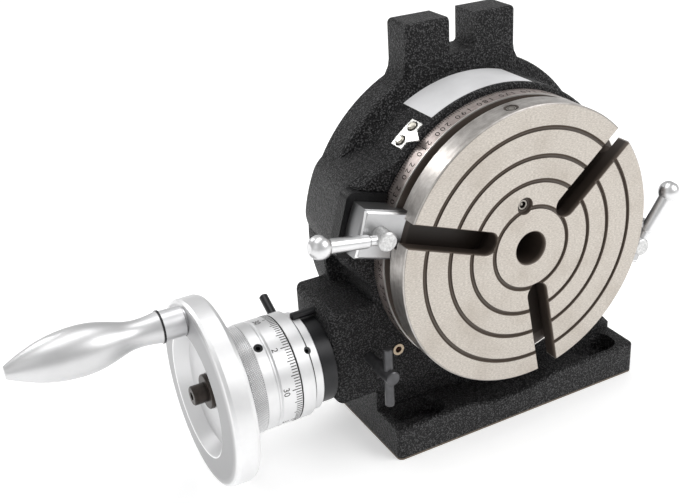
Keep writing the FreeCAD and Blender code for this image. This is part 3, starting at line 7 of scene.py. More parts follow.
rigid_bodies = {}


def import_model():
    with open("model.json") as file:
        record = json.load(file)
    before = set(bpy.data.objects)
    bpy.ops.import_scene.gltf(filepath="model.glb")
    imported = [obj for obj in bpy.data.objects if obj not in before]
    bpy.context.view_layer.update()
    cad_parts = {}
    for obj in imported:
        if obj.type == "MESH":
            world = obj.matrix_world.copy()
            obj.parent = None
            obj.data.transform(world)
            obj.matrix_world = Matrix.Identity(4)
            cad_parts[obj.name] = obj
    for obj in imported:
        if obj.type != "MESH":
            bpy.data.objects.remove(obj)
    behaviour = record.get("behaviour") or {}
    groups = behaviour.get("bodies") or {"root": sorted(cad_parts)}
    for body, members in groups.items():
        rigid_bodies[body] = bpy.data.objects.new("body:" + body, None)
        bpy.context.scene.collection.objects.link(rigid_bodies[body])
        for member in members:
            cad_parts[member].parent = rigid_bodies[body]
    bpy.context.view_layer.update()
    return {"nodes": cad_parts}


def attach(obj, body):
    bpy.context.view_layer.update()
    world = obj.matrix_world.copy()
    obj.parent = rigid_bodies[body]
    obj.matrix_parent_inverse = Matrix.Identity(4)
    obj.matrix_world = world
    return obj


for old in list(bpy.data.objects):
    bpy.data.objects.remove(old)

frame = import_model()
nodes = frame["nodes"]
MM = 0.001

# %% [markdown]
# Places that several steps share. They are the CAD part's own: the table's axis runs
# along Y at 110 mm height, and the worm's axis runs along X, 49 mm behind the table's
# face and 54 mm below the table's axis. Both are stated once here.

# %% Axes and radii
FACE_Y = -46 * MM
TABLE_Z = 110 * MM
TABLE_R = 75 * MM
DRUM_R = 78 * MM
WORM_Y = 3 * MM
WORM_Z = 56 * MM
DIAL_R = 28 * MM
BACK_DEPTH = 79.9 * MM      # just inside the casting's machined back, behind the table's face
CLAMP_LINE = math.radians(163.4)    # line through both clamps, from right over up


def table_point(radius, angle, depth):
    """A point round the table's axis. The angle runs from right over up, in degrees."""
    a = math.radians(angle)
    return Vector((radius * math.cos(a), FACE_Y + depth, TABLE_Z + radius * math.sin(a)))


def shaft_point(radius, angle, x):
    """A point round the worm's axis. The angle runs from up towards the front, in degrees."""
    a = math.radians(angle)
    return Vector((x, WORM_Y - radius * math.sin(a), WORM_Z + radius * math.cos(a)))


def piece(name, vertices, faces, body, material):
    """Makes a mesh piece that rides on a CAD body."""
    mesh = bpy.data.meshes.new(name)
    mesh.from_pydata([tuple(v) for v in vertices], [], faces)
    mesh.validate()
    mesh.update()
    made = bpy.data.objects.new(name, mesh)
    bpy.context.scene.collection.objects.link(made)
    made.data.materials.append(material)
    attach(made, body)
    print(name, len(faces), "faces, rides on", body)
    return made


# %% [markdown]
# The camera stands to the left of the table and looks down on it. It sits where the
# photo's own camera must have stood, found from the ellipses of the table's rim, the
# handwheel and the straight edges of the foot. The picture was cropped off centre, so
# the lens is shifted a little.

# %% Camera
PHOTO_W, PHOTO_H = 680, 504             # in pixels, like the next two lines
LENS_CENTRE_X, LENS_CENTRE_Y = 376.4, 249.4
FOCAL_LENGTH = 1047.3
SENSOR_W = 36
CAMERA_PLACE = Vector((-0.29174, -0.42371, 0.34764))

camera_data = bpy.data.cameras.new("camera")
camera_data.sensor_width = SENSOR_W
camera_data.lens = FOCAL_LENGTH / PHOTO_W * SENSOR_W
camera_data.shift_x = (PHOTO_W / 2 - LENS_CENTRE_X) / PHOTO_W
camera_data.shift_y = (LENS_CENTRE_Y - PHOTO_H / 2) / PHOTO_W
camera = bpy.data.objects.new("camera", camera_data)
right = Vector((0.8694, -0.4922, -0.0432))
down = Vector((-0.2531, -0.3686, -0.8945))
forward = right.cross(down)
turn = Matrix((right, -down, -forward)).transposed()
camera.matrix_world = Matrix.Translation(CAMERA_PLACE) @ turn.to_4x4()
camera_data.clip_start = 0.01
camera_data.clip_end = 50
bpy.context.scene.collection.objects.link(camera)
bpy.context.scene.camera = camera
print("camera lens", round(camera_data.lens, 2), "mm")

# %% [markdown]
# A product shot in a light tent: a white table, a large soft light in front and to the
# right, a wide one above, a weak one on the left, and a strip behind that draws bright
# lines on the turned metal. The world is a pale grey, so that polished steel has
# something darker than the lamps to show. The paper glows a little, as it does in a
# photo whose background is burnt out to white.

# %% Light and floor


def lamp(name, place, aim, size, power):
    """A soft white light, as wide and high as its size says, that points at a place."""
    data = bpy.data.lights.new(name, "AREA")
    data.shape = "RECTANGLE"
    data.size, data.size_y = size
    data.energy = power
    made = bpy.data.objects.new(name, data)
    made.location = place
    made.rotation_euler = (Vector(aim) - Vector(place)).to_track_quat("-Z", "Y").to_euler()
    bpy.context.scene.collection.objects.link(made)
    return made


lamp("key", (0.8, -0.85, 1.05), (0, 0, 0.08), (0.9, 0.9), 9.5)
lamp("fill", (-1.1, -0.5, 0.75), (-0.05, 0, 0.08), (0.7, 0.9), 0.8)
lamp("top", (-0.15, 0.2, 1.35), (-0.05, 0, 0.1), (1.2, 0.6), 5.0)
lamp("rear", (-0.46, 1.08, 0.90), (-0.03, 0, 0.15), (0.20, 0.3), 2.5)

world = bpy.data.worlds.new("world")
bpy.context.scene.world = world
world.use_nodes = True
world.node_tree.nodes["Background"].inputs["Color"].default_value = (1, 1, 1, 1)
world.node_tree.nodes["Background"].inputs["Strength"].default_value = 0.58
bpy.context.scene.view_settings.view_transform = "Standard"
bpy.context.scene.view_settings.look = "None"

floor_mesh = bpy.data.meshes.new("floor")
floor_mesh.from_pydata([(-6, -6, 0), (6, -6, 0), (6, 6, 0), (-6, 6, 0)], [], [(0, 1, 2, 3)])
floor = bpy.data.objects.new("floor", floor_mesh)
floor.location.z = -0.0002
bpy.context.scene.collection.objects.link(floor)
paper = bpy.data.materials.new("paper")
paper.use_nodes = True
shader = paper.node_tree.nodes["Principled BSDF"]
shader.inputs["Base Color"].default_value = (0.93, 0.93, 0.93, 1)
shader.inputs["Roughness"].default_value = 0.9
shader.inputs["Specular IOR Level"].default_value = 0.1
shader.inputs["Emission Color"].default_value = (1, 1, 1, 1)
shader.inputs["Emission Strength"].default_value = 0.33
floor.data.materials.append(paper)

# %% [markdown]
# Small tools for building surface finishes out of nodes. Every finish is computed from
# the piece's own coordinates, so it stays on the metal when the piece moves.

# %% Node tools


class Finish:
    """A material with a Principled surface and short ways to add nodes to it."""

    def __init__(self, name, colour=(0.5, 0.5, 0.5), metallic=0.0, roughness=0.5):
        self.material = bpy.data.materials.new(name)
        self.material.use_nodes = True
        self.tree = self.material.node_tree
        self.surface = self.tree.nodes["Principled BSDF"]
        self.set("Base Color", (*colour, 1))
        self.set("Metallic", metallic)
        self.set("Roughness", roughness)
        self.place = self.tree.nodes.new("ShaderNodeTexCoord").outputs["Object"]

    def set(self, socket, value):
        """Sets a number or colour, or joins a node's output, to one of the surface's inputs."""
        self.join(value, self.surface.inputs[socket])

    def join(self, value, socket):
        if isinstance(value, bpy.types.NodeSocket):
            self.tree.links.new(value, socket)
        else:
            socket.default_value = value

    def math(self, kind, *values):
        node = self.tree.nodes.new("ShaderNodeMath")
        node.operation = kind
        for value, socket in zip(values, node.inputs):
            self.join(value, socket)
        return node.outputs[0]

    def axes(self):
        """The three coordinates of each point of the piece."""
        node = self.tree.nodes.new("ShaderNodeSeparateXYZ")
        self.join(self.place, node.inputs[0])
        return node.outputs

    def vector(self, x, y, z):
        node = self.tree.nodes.new("ShaderNodeCombineXYZ")
        for value, socket in zip((x, y, z), node.inputs):
            self.join(value, socket)
        return node.outputs[0]

    def noise(self, scale, detail=2.0, roughness=0.5, place=None):
        node = self.tree.nodes.new("ShaderNodeTexNoise")
        self.join(place or self.place, node.inputs["Vector"])
        self.join(scale, node.inputs["Scale"])
        self.join(detail, node.inputs["Detail"])
        self.join(roughness, node.inputs["Roughness"])
        return node.outputs["Fac"]

    def cells(self, scale):
        node = self.tree.nodes.new("ShaderNodeTexVoronoi")
        self.join(self.place, node.inputs["Vector"])
        self.join(scale, node.inputs["Scale"])
        return node.outputs["Distance"]

    def ramp(self, value, stops):
        """Turns a number into a colour by stops of (position, colour)."""
        node = self.tree.nodes.new("ShaderNodeValToRGB")
        while len(node.color_ramp.elements) < len(stops):
            node.color_ramp.elements.new(0.5)
        for element, (position, colour) in zip(node.color_ramp.elements, stops):
            element.position = position
            element.color = (*colour, 1)
        self.join(value, node.inputs[0])
        return node.outputs[0]

    def mix(self, share, a, b):
        """Mixes two colours."""
        node = self.tree.nodes.new("ShaderNodeMix")
        node.data_type = "RGBA"
        self.join(share, node.inputs[0])
        for value, socket in ((a, node.inputs[6]), (b, node.inputs[7])):
            self.join((*value, 1) if isinstance(value, tuple) else value, socket)
        return node.outputs[2]

    def away(self, point, direction):
        """Distance from a line, given by one of its points and its direction."""
        last = self.place
        for kind, other in (("SUBTRACT", point), ("CROSS_PRODUCT", direction), ("LENGTH", None)):
            node = self.tree.nodes.new("ShaderNodeVectorMath")
            node.operation = kind
            self.join(last, node.inputs[0])
            if other:
                self.join(other, node.inputs[1])
            last = node.outputs["Value" if kind == "LENGTH" else "Vector"]
        return last

    def between(self, value, low, high, soft):
        """1 between two limits and 0 outside them."""
        return self.math("SUBTRACT", self.above(value, low, soft), self.above(value, high, soft))

    def worn(self, colour, gloss, scale=70, spread=0.12, rub=0.08):
        """Slow changes of tone and gloss, as handling and oil leave them on metal."""
        patch = self.noise(scale, 3, 0.6)
        darker = tuple(c * (1 - spread) for c in colour)
        self.set("Roughness", self.math("MULTIPLY_ADD", patch, rub, gloss - rub / 2))
        toned = self.ramp(patch, [(0.35, darker), (0.65, colour)])
        self.set("Base Color", toned)
        return toned

    def above(self, value, limit, soft):
        """0 below the limit and 1 above it, with a soft step."""
        node = self.tree.nodes.new("ShaderNodeMapRange")
        self.join(value, node.inputs["Value"])
        node.inputs["From Min"].default_value = limit - soft
        node.inputs["From Max"].default_value = limit + soft
        return node.outputs[0]

    def bump(self, height, distance, strength=1.0):
        node = self.tree.nodes.new("ShaderNodeBump")
        self.join(height, node.inputs["Height"])
        node.inputs["Distance"].default_value = distance
        node.inputs["Strength"].default_value = strength
        self.set("Normal", node.outputs[0])


def dress(finish, *names):
    """Gives a finish to CAD nodes."""
    for name in names:
        nodes[name].data.materials.clear()
        nodes[name].data.materials.append(finish.material)


def along_clamps(finish):
    """Distance from the table's axis along the line through both clamps, and across it."""
    x, y, z = finish.axes()
    up = finish.math("SUBTRACT", z, TABLE_Z)
    reach = finish.math("ADD", finish.math("MULTIPLY", x, math.cos(CLAMP_LINE)),
                        finish.math("MULTIPLY", up, math.sin(CLAMP_LINE)))
    across = finish.math("SUBTRACT", finish.math("MULTIPLY", x, math.sin(CLAMP_LINE)),
                         finish.math("MULTIPLY", up, math.cos(CLAMP_LINE)))
    return finish.math("ABSOLUTE", reach), finish.math("ABSOLUTE", across)


# %% [markdown]
# Crackle paint on the casting. It is a thick black lacquer that shrinks into grains a
# millimetre wide. Cells make the grains and a noise breaks them up. The tops of the grains
# are painted lighter, as painted highlights where the lamps would catch them, and these are
# the lighter specks. The two clamp seats are rubbed smooth, so they stay plain black. The
# machined underside of the foot shows as a thin line of bare metal. The back is milled
# flat, for use with the table lying down, so it is bare too.

# %% Casting
SEAT_HALF_W = 16.7 * MM     # half the width of a clamp's smooth seat
SEAT_DEPTH = 33.3 * MM      # the seats end here, behind the table's face
FOOT_LINE = 1.0 * MM        # height of the bare line along the foot's underside

casting = Finish("crackle_paint")
cells = casting.cells(1050)
crackle = casting.noise(1080, 3, 0.65)
lumps = casting.noise(300, 2, 0.5)
height = casting.math("MULTIPLY_ADD", cells, -0.9, casting.math("MULTIPLY", crackle, 1.3))
height = casting.math("MULTIPLY_ADD", lumps, 0.7, height)
x, y, z = casting.axes()
across = along_clamps(casting)[1]
beside_seat = casting.above(across, SEAT_HALF_W, 0.3 * MM)
rough_skin = casting.math("MAXIMUM", beside_seat, casting.above(y, FACE_Y + SEAT_DEPTH, 0.4 * MM))
# Painted highlights: the grain tops get a lighter colour where the lamps would catch them.
painted_grain_highlights = casting.above(casting.math("MULTIPLY_ADD", cells, -0.35, crackle), 0.385, 0.035)
paint = casting.mix(casting.math("MULTIPLY", painted_grain_highlights, rough_skin),
                    (0.0035, 0.0035, 0.004), (0.088, 0.087, 0.089))
bare_line = casting.above(casting.math("MULTIPLY", z, -1), -FOOT_LINE, 0.15 * MM)
paint = casting.mix(bare_line, paint, (0.20, 0.16, 0.12))
back = casting.above(y, FACE_Y + BACK_DEPTH, 0.05 * MM)
milled = casting.noise(1.0, 3, 0.6, casting.vector(casting.math("MULTIPLY", x, 90), 0.0,
                                                   casting.math("MULTIPLY", z, 1500)))
milled = casting.ramp(milled, [(0.35, (0.33, 0.315, 0.30)), (0.65, (0.50, 0.485, 0.465))])
casting.set("Base Color", casting.mix(back, paint, milled))
casting.set("Metallic", casting.math("MULTIPLY", back, 0.9))
casting.set("Roughness", casting.math("MULTIPLY_ADD", rough_skin, 0.1, 0.36))
casting.set("Specular IOR Level", 0.27)
casting.bump(casting.math("MULTIPLY", height, casting.math("MULTIPLY_ADD", rough_skin, 0.85, 0.15)),
             1.1 * MM)
dress(casting, "body_casting")
print("casting painted")

# %% [markdown]
# The table is cast iron, ground on its face and turned on its rim. The ground face is
# warm grey with short fine marks. The grooves, the T-slots and the bore were left as
# machined and hold dark oil, also on their edges. Deeper than 2.2 mm the oil colour is
# painted darker, as painted shade in the T-slots and the bore. The front edge of the rim's
# rear band is painted bright, as a painted highlight. One material tells them apart by
# where they are on the table: by depth behind the face and by distance from the axis.

# %% Table
RING_MIDDLES = (22.75, 36.45, 49.15, 63.35)     # the four ring grooves, in millimetres
RING_HALF_W = 0.86 * MM     # half a ring groove with the oil beside it
SHALLOW = 2.2 * MM          # deeper than this the oil colour is painted darker, as painted shade
RIM_GROOVE = 15.7 * MM      # middle of the rim groove, behind the face
RIM_GROOVE_FLOOR = 65 * MM
REAR_BAND = 16 * MM         # behind this the rim is the graduated band
REAR_EDGE = 19.2 * MM       # and up to here its front edge is painted bright, as a painted highlight

table = Finish("ground_iron")
x, y, z = table.axes()
up = table.math("SUBTRACT", z, TABLE_Z)
radius = table.math("SQRT", table.math("ADD", table.math("MULTIPLY", x, x), table.math("MULTIPLY", up, up)))
angle = table.math("ARCTAN2", up, x)
on_face = table.math("SUBTRACT", 1.0, table.above(y, FACE_Y + 0.15 * MM, 0.1 * MM))
on_rim = table.above(radius, TABLE_R - 0.6 * MM, 0.15 * MM)
behind = table.above(y, FACE_Y + REAR_BAND, 0.5 * MM)

scratches = table.vector(table.math("MULTIPLY", x, 700), 0.0, table.math("MULTIPLY", up, 1900))
ground = table.noise(1.0, 3, 0.7, scratches)
face = table.ramp(ground, [(0.3, (0.41, 0.375, 0.335)), (0.7, (0.68, 0.635, 0.58))])
stain = table.math("MULTIPLY", table.above(table.noise(45, 3, 0.55), 0.6, 0.12), 0.35)
face = table.mix(stain, face, (0.36, 0.31, 0.26))
from_ring = 1.0
for middle in RING_MIDDLES:
    gap = table.math("ABSOLUTE", table.math("SUBTRACT", radius, middle * MM))
    from_ring = table.math("MINIMUM", from_ring, gap)
face = table.mix(table.above(from_ring, RING_HALF_W, 0.12 * MM), (0.068, 0.052, 0.041), face)

rings = table.vector(table.math("MULTIPLY", y, 3200), table.math("MULTIPLY", angle, 0.8), 0.0)
smears = table.vector(table.math("MULTIPLY", y, 260), table.math("MULTIPLY", angle, 14), 0.0)
turned = table.math("MULTIPLY_ADD", table.noise(1.0, 3, 0.6, smears), 0.5,
                    table.math("MULTIPLY", table.noise(1.0, 2, 0.7, rings), 0.5))
front_band = table.ramp(turned, [(0.38, (0.36, 0.335, 0.315)), (0.62, (0.60, 0.575, 0.55))])
rear_band = table.ramp(turned, [(0.38, (0.37, 0.31, 0.29)), (0.62, (0.60, 0.535, 0.51))])

# The rim groove is told from the T-slots by two cones that meet at its middle.
from_groove = table.math("ABSOLUTE", table.math("SUBTRACT", y, FACE_Y + RIM_GROOVE))
in_groove = table.above(table.math("SUBTRACT", radius, from_groove), RIM_GROOVE_FLOOR, 0.5 * MM)
# Painted shade: deeper than SHALLOW the oil colour is painted darker.
painted_deep_shade = table.above(y, FACE_Y + SHALLOW, 0.8 * MM)
oil_and_shade = table.mix(painted_deep_shade, (0.11, 0.086, 0.068), (0.036, 0.026, 0.020))
oil_and_shade = table.mix(in_groove, oil_and_shade, (0.085, 0.066, 0.055))

# Painted highlight: a bright strip along the front edge of the rear band.
before_edge = table.above(table.math("MULTIPLY", y, -1), -FACE_Y - REAR_EDGE, 0.1 * MM)
painted_edge_highlight = table.math("MULTIPLY", table.math("MULTIPLY", behind, before_edge), on_rim)
colour = table.mix(on_rim, oil_and_shade, table.mix(behind, front_band, rear_band))
colour = table.mix(painted_edge_highlight, colour, (0.85, 0.83, 0.80))
table.set("Base Color", table.mix(on_face, colour, face))
table.set("Metallic", table.math("MULTIPLY", table.math("MAXIMUM", on_face, on_rim), 0.92))
gloss = table.math("MULTIPLY_ADD", behind, 0.06, -0.13)
table.set("Roughness", table.math("MULTIPLY_ADD", on_rim, gloss, 0.5))
table.bump(table.math("ADD", ground, turned), 0.02 * MM, 0.5)
dress(table, "rotary_table", "table_spindle")
print("table finished")

# %% [markdown]
# Turned metals. The rings, the dial and the shafts are satin steel, the handwheel and its
# grip are aluminium. Turned parts get faint rings round their own axis, because a lathe
# leaves them there. Where two rings meet, the end of one ring is painted dark, as painted
# shade in the joint. The handwheel's face is painted darker than its rim as painted shade,
# its dish lighter as painted light, and the corner between them has a painted highlight.

# %% Turned metals
SHAFT_LINE = (0, WORM_Y, WORM_Z)
CRANK_LINE = (0, 8.96 * MM, 95.86 * MM)
SATIN = (0.79, 0.79, 0.795)
VERNIER_END = 121.6 * MM    # left of these the rings are painted dark, as painted shade in the joints
CLAMP_RING_END = 113.5 * MM
WHEEL_FACE = 166.2 * MM     # left of this is the handwheel's face
DISH_R = 32.4 * MM


def turned_metal(name, colour, gloss, line, depth=0.02 * MM, tight=3000):
    """Metal with faint rings round an axis along X, and slow changes of tone."""
    finish = Finish(name, colour, 1.0, gloss)
    x, y, z = finish.axes()
    away = finish.away(line, (1, 0, 0))
    marks = finish.noise(1.0, 2, 0.6, finish.vector(finish.math("MULTIPLY", x, tight),
                                                    finish.math("MULTIPLY", away, tight), 0.0))
    finish.bump(marks, depth, 0.5)
    return finish, finish.worn(colour, gloss, 60, 0.06), finish.math("MULTIPLY", x, -1), away


def ring_steel(name, end):
    """A ring's satin steel, painted dark at its left end as painted shade where the next ring meets it."""
    finish, toned, left, away = turned_metal(name, SATIN, 0.45, SHAFT_LINE)
    # Painted shade: the left end is painted near black where the next ring meets it.
    painted_shade = finish.above(left, end, 0.04 * MM)
    finish.set("Base Color", finish.mix(painted_shade, toned, (0.003, 0.003, 0.003)))
    finish.set("Metallic", finish.math("SUBTRACT", 1.0, painted_shade))
    return finish


dress(turned_metal("turned_steel", SATIN, 0.4, SHAFT_LINE)[0],
      "worm_shaft", "thrust_collar", "eccentric_sleeve", "thrust_washer", "handwheel_key")
dress(ring_steel("vernier_steel", VERNIER_END), "vernier_ring")
dress(ring_steel("ring_steel", CLAMP_RING_END), "clamp_ring")
dress(turned_metal("dial_steel", SATIN, 0.43, SHAFT_LINE, 0.015 * MM)[0], "graduated_dial")

aluminium, toned, left, away = turned_metal("satin_aluminium", (0.82, 0.82, 0.825), 0.46,
                                            SHAFT_LINE, 0.02 * MM, 2200)
wheel_face = aluminium.above(left, WHEEL_FACE, 0.3 * MM)
dish = aluminium.math("SUBTRACT", 1.0, aluminium.above(away, DISH_R, 0.3 * MM))
painted_corner_highlight = aluminium.between(away, DISH_R - 0.2 * MM, DISH_R + 0.4 * MM, 0.08 * MM)
# Painted light: the face is painted darker as painted shade, the dish lighter as painted light, and the
# dish's edge gets a painted highlight.
toned = aluminium.mix(wheel_face, toned, (0.41, 0.41, 0.415))
toned = aluminium.mix(dish, toned, (0.70, 0.70, 0.705))
toned = aluminium.mix(aluminium.math("MULTIPLY", painted_corner_highlight, wheel_face), toned, (0.92, 0.92, 0.92))
aluminium.set("Base Color", toned)
dress(aluminium, "handwheel")
dress(turned_metal("polished_aluminium", (0.66, 0.66, 0.665), 0.40, CRANK_LINE,
                   0.015 * MM, 2600)[0], "crank_grip")
dress(turned_metal("satin_ferrule", (0.74, 0.74, 0.75), 0.42, CRANK_LINE, 0.015 * MM)[0],
      "handle_spindle")
print("turned metals finished")

# %% [markdown]
# The clamps. Their blocks are milled, with fine straight marks. A painted highlight makes a
# bright line where the bevel meets the front, and the sides are painted darker as painted
# shade. The two ball levers are chromed and handled often, so their gloss changes slowly
# over them. The hubs that they sit in are sawn and filed at the end, which leaves them duller.

# %% Clamps
BLOCK_END = 92.4 * MM       # the blocks' bevels start this far from the table's axis
BLOCK_SIDE = 10.9 * MM      # and this far beside the line through both clamps
BEVEL_LINE = 0.75 * MM      # width of the painted highlight line


def worn_metal(name, colour, gloss, scale, spread, rub=0.08, metallic=1.0):
    """Metal whose tone and gloss change slowly. Gives the finish and its colour."""
    finish = Finish(name, colour, metallic, gloss)
    return finish, finish.worn(colour, gloss, scale, spread, rub)


block_steel, toned = worn_metal("milled_steel", (0.52, 0.52, 0.525), 0.36, 90, 0.1)
reach, across = along_clamps(block_steel)
outside = block_steel.math("MAXIMUM", block_steel.math("SUBTRACT", reach, BLOCK_END),
                           block_steel.math("SUBTRACT", across, BLOCK_SIDE))
# Painted shade on the sides and outer bevels, and a painted highlight along the bevel's line next to the
# front.
sides = block_steel.above(outside, BEVEL_LINE, 0.1 * MM)
painted_corner_highlight = block_steel.between(outside, 0.02 * MM, BEVEL_LINE, 0.06 * MM)
toned = block_steel.mix(sides, toned, (0.30, 0.30, 0.305))
block_steel.set("Base Color", block_steel.mix(painted_corner_highlight, toned, (0.97, 0.97, 0.97)))
mill = block_steel.vector(*(block_steel.math("MULTIPLY", a, k)
                            for a, k in zip(block_steel.axes(), (300, 2600, 2600))))
block_steel.bump(block_steel.noise(1.0, 2, 0.6, mill), 0.02 * MM, 0.5)
dress(block_steel, "left_clamp_block", "right_clamp_block")

chrome = worn_metal("chrome", (0.76, 0.76, 0.765), 0.32, 120, 0.12, 0.12)[0]
chrome.bump(chrome.noise(420, 2, 0.5), 0.02 * MM, 0.4)
dress(chrome, "left_clamp_lever", "right_clamp_lever")
hub = worn_metal("turned_hub", (0.74, 0.74, 0.735), 0.48, 900, 0.3)[0]
hub.bump(hub.noise(1300, 2, 0.6), 0.04 * MM, 0.5)
dress(hub, "left_clamp_screw", "right_clamp_screw")
print("clamps finished")

# %% [markdown]
# Small bright pieces. The index pointer is plain sheet steel and its screws are nickel
# plated. The oilers and the rim plug are too small for separate parts to show, so dark
# rings of painted shade round their own axes stand for the gap round the ball and the edge
# of the cup.

# %% Small bright pieces
FACE_OILER = table_point(24.7 * MM, 100, 0)
BODY_OILER = table_point(82.2 * MM, 220.2, 0)
PLUG_ANGLE = math.radians(97)
PLUG_DEPTH = 6.3 * MM
DEPTHWISE = (0, 1, 0)

bright = worn_metal("bright_steel", (0.72, 0.72, 0.70), 0.42, 140, 0.08)[0]
dress(bright, "index_pointer")
nickel = worn_metal("nickel_screws", (0.50, 0.48, 0.42), 0.30, 500, 0.2)[0]
dress(nickel, "pointer_screws")

oiler_steel, toned = worn_metal("oiler_steel", (0.42, 0.39, 0.35), 0.38, 700, 0.25)
away = oiler_steel.away(FACE_OILER, DEPTHWISE)
# Painted shade: dark rings for the gap round the ball and the edge of the cup.
painted_shade = oiler_steel.math("MAXIMUM", oiler_steel.between(away, 1.05 * MM, 1.75 * MM, 0.08 * MM),
                        oiler_steel.above(away, 2.55 * MM, 0.08 * MM))
oiler_steel.set("Base Color", oiler_steel.mix(painted_shade, toned, (0.018, 0.014, 0.012)))
dress(oiler_steel, "table_oiler")

plug_metal, toned = worn_metal("rim_plug_steel", (0.50, 0.47, 0.43), 0.35, 700, 0.3)
away = plug_metal.away(table_point(0, 0, PLUG_DEPTH), (math.cos(PLUG_ANGLE), 0, math.sin(PLUG_ANGLE)))
# Painted shade: dark rings round the plug's axis stand for the gap and the edge of its cup.
painted_shade = plug_metal.math("MAXIMUM", plug_metal.between(away, 1.45 * MM, 1.8 * MM, 0.06 * MM),
                       plug_metal.above(away, 2.4 * MM, 0.06 * MM))
plug_metal.set("Base Color", plug_metal.mix(painted_shade, toned, (0.03, 0.022, 0.018)))
dress(plug_metal, "rim_plug")
print("small bright pieces finished")

# %% [markdown]
# Dark metals. The stop collar, the levers and most screws are blued black and lightly
# oiled. The lock screw is greyer, from long use. The handwheel's screw and washer have
# gone brown.

# %% Dark metals
oxide = worn_metal("black_oxide", (0.020, 0.020, 0.022), 0.32, 200, 0.3, metallic=0.4)[0]
oxide.bump(oxide.noise(1400, 2, 0.5), 0.03 * MM, 0.4)
dress(oxide, "stop_collar", "stop_collar_screws", "stop_pin", "release_lever", "clamp_ring_screw",
      "dial_set_screw", "handle_ring", "spindle_locknut", "worm_wheel_screws", "spindle_screws")
gunmetal = worn_metal("gunmetal", (0.10, 0.10, 0.105), 0.36, 260, 0.3, metallic=0.7)[0]
gunmetal.bump(gunmetal.noise(900, 2, 0.5), 0.03 * MM, 0.4)
dress(gunmetal, "lock_screw", "lock_screw_bar")
tarnish = worn_metal("tarnished_steel", (0.055, 0.044, 0.038), 0.4, 260, 0.4, metallic=0.6)[0]
tarnish.bump(tarnish.noise(1100, 3, 0.6), 0.05 * MM, 0.5)
dress(tarnish, "end_washer", "end_screw")
print("dark metals finished")

# %% [markdown]
# Brass and bronze. The body's oiler is brass, and its mouth is painted dark as painted
# shade. The pad that the lock screw presses on the sleeve is brass too, because brass
# leaves no mark there. The worm wheel and the spindle's bush are bronze, which runs well on
# steel.

# %% Brass and bronze
OILER_MOUTH_R = 1.5 * MM
brass, toned = worn_metal("brass", (0.42, 0.34, 0.25), 0.32, 400, 0.2)
away = brass.away(BODY_OILER, DEPTHWISE)
# Painted shade: the oiler's mouth is painted near black.
painted_mouth_shade = brass.math("SUBTRACT", 1.0, brass.above(away, OILER_MOUTH_R, 0.1 * MM))
brass.set("Base Color", brass.mix(painted_mouth_shade, toned, (0.035, 0.012, 0.009)))
dress(brass, "body_oiler", "lock_pad")
bronze = worn_metal("bronze", (0.52, 0.33, 0.16), 0.36, 150, 0.2)[0]
dress(bronze, "worm_wheel", "spindle_bush")
left_over = [n for n, o in nodes.items() if not o.data.materials or o.data.materials[0] is None
             or not o.data.materials[0].node_tree]
print("CAD nodes without a finish:", left_over)

# %% [markdown]
# Engraved marks. On the real part they are cut into the metal and filled with black. Here
# each line is a thin dark patch that lies on the surface, because a cut this fine has no
# visible depth at this distance. The numbers are plain figures, set in a curve.

# %% Marks
ink_and_shadow = Finish("engraving_ink_and_shadow", (0.016, 0.013, 0.011), 0.0, 0.7)
ink_and_shadow.worn((0.018, 0.014, 0.012), 0.7, 600, 0.4)
ink_and_shadow.set("Specular IOR Level", 0.1)
LIFT = 0.04 * MM


def line_marks(name, body, point, radius, rows):
    """Lines along the axis. Each row is (angle, start, end, width), lengths in metres."""
    vertices, faces = [], []
    for angle, start, end, width in rows:
        half = math.degrees(width / 2 / radius)
        base = len(vertices)
        for a, place in ((angle - half, start), (angle + half, start), (angle + half, end),
                         (angle - half, end)):
            vertices.append(point(radius + LIFT, a, place))
        faces.append((base, base + 1, base + 2, base + 3))
    return piece(name, vertices, faces, body, ink_and_shadow.material)


def figures(text, size, spread):
    """Flat outlines of a number, centred on the origin. Gives points and faces."""
    data = bpy.data.curves.new("figures", "FONT")
    data.body = text
    data.size = size
    data.space_character = spread
    data.align_x = "CENTER"
    data.align_y = "CENTER"
    data.resolution_u = 3
    made = bpy.data.objects.new("figures", data)
    bpy.context.scene.collection.objects.link(made)
    bpy.context.view_layer.update()
    mesh = bpy.data.meshes.new_from_object(made.evaluated_get(bpy.context.evaluated_depsgraph_get()))
    points = [(v.co.x, v.co.y) for v in mesh.vertices]
    polygons = [tuple(p.vertices) for p in mesh.polygons]
    bpy.data.objects.remove(made)
    bpy.data.curves.remove(data)
    bpy.data.meshes.remove(mesh)
    return points, polygons


def number_marks(name, body, point, radius, rows, size, upward, spread=1.0):
    """Numbers that read along growing angles. Each row is (text, angle, place)."""
    vertices, faces = [], []
    for text, angle, place in rows:
        points, polygons = figures(text, size, spread)
        base = len(vertices)
        for u, v in points:
            vertices.append(point(radius + LIFT, angle + math.degrees(u / radius), place + upward * v))
        faces += [tuple(base + i for i in polygon) for polygon in polygons]
    return piece(name, vertices, faces, body, ink_and_shadow.material)


# %% [markdown]
# The table's scale has a line for each degree at the back edge of the rim, with longer
# ones at five and ten degrees. The numbers stand in front of the lines with their tops
# towards the face. The dial has 120 lines of two minutes, so that one turn is four
# degrees, with a figure at each half degree.

# %% Scales
SCALE_TURN = 80.1           # the scale's reading less the angle at which it stands
SCALE_BACK = 28.6           # the degree lines start here, in millimetres behind the face
SCALE_NUMBERS = 22.5        # and the middle of the numbers is here
DIAL_TURN = 38.0            # the angle of the figure 2
DIAL_START = -122.6         # the dial's lines start here along the shaft
DIAL_NUMBERS = -130.6
DIAL_LABELS = ("2", "30", "3", "30", "0", "30", "1", "30")

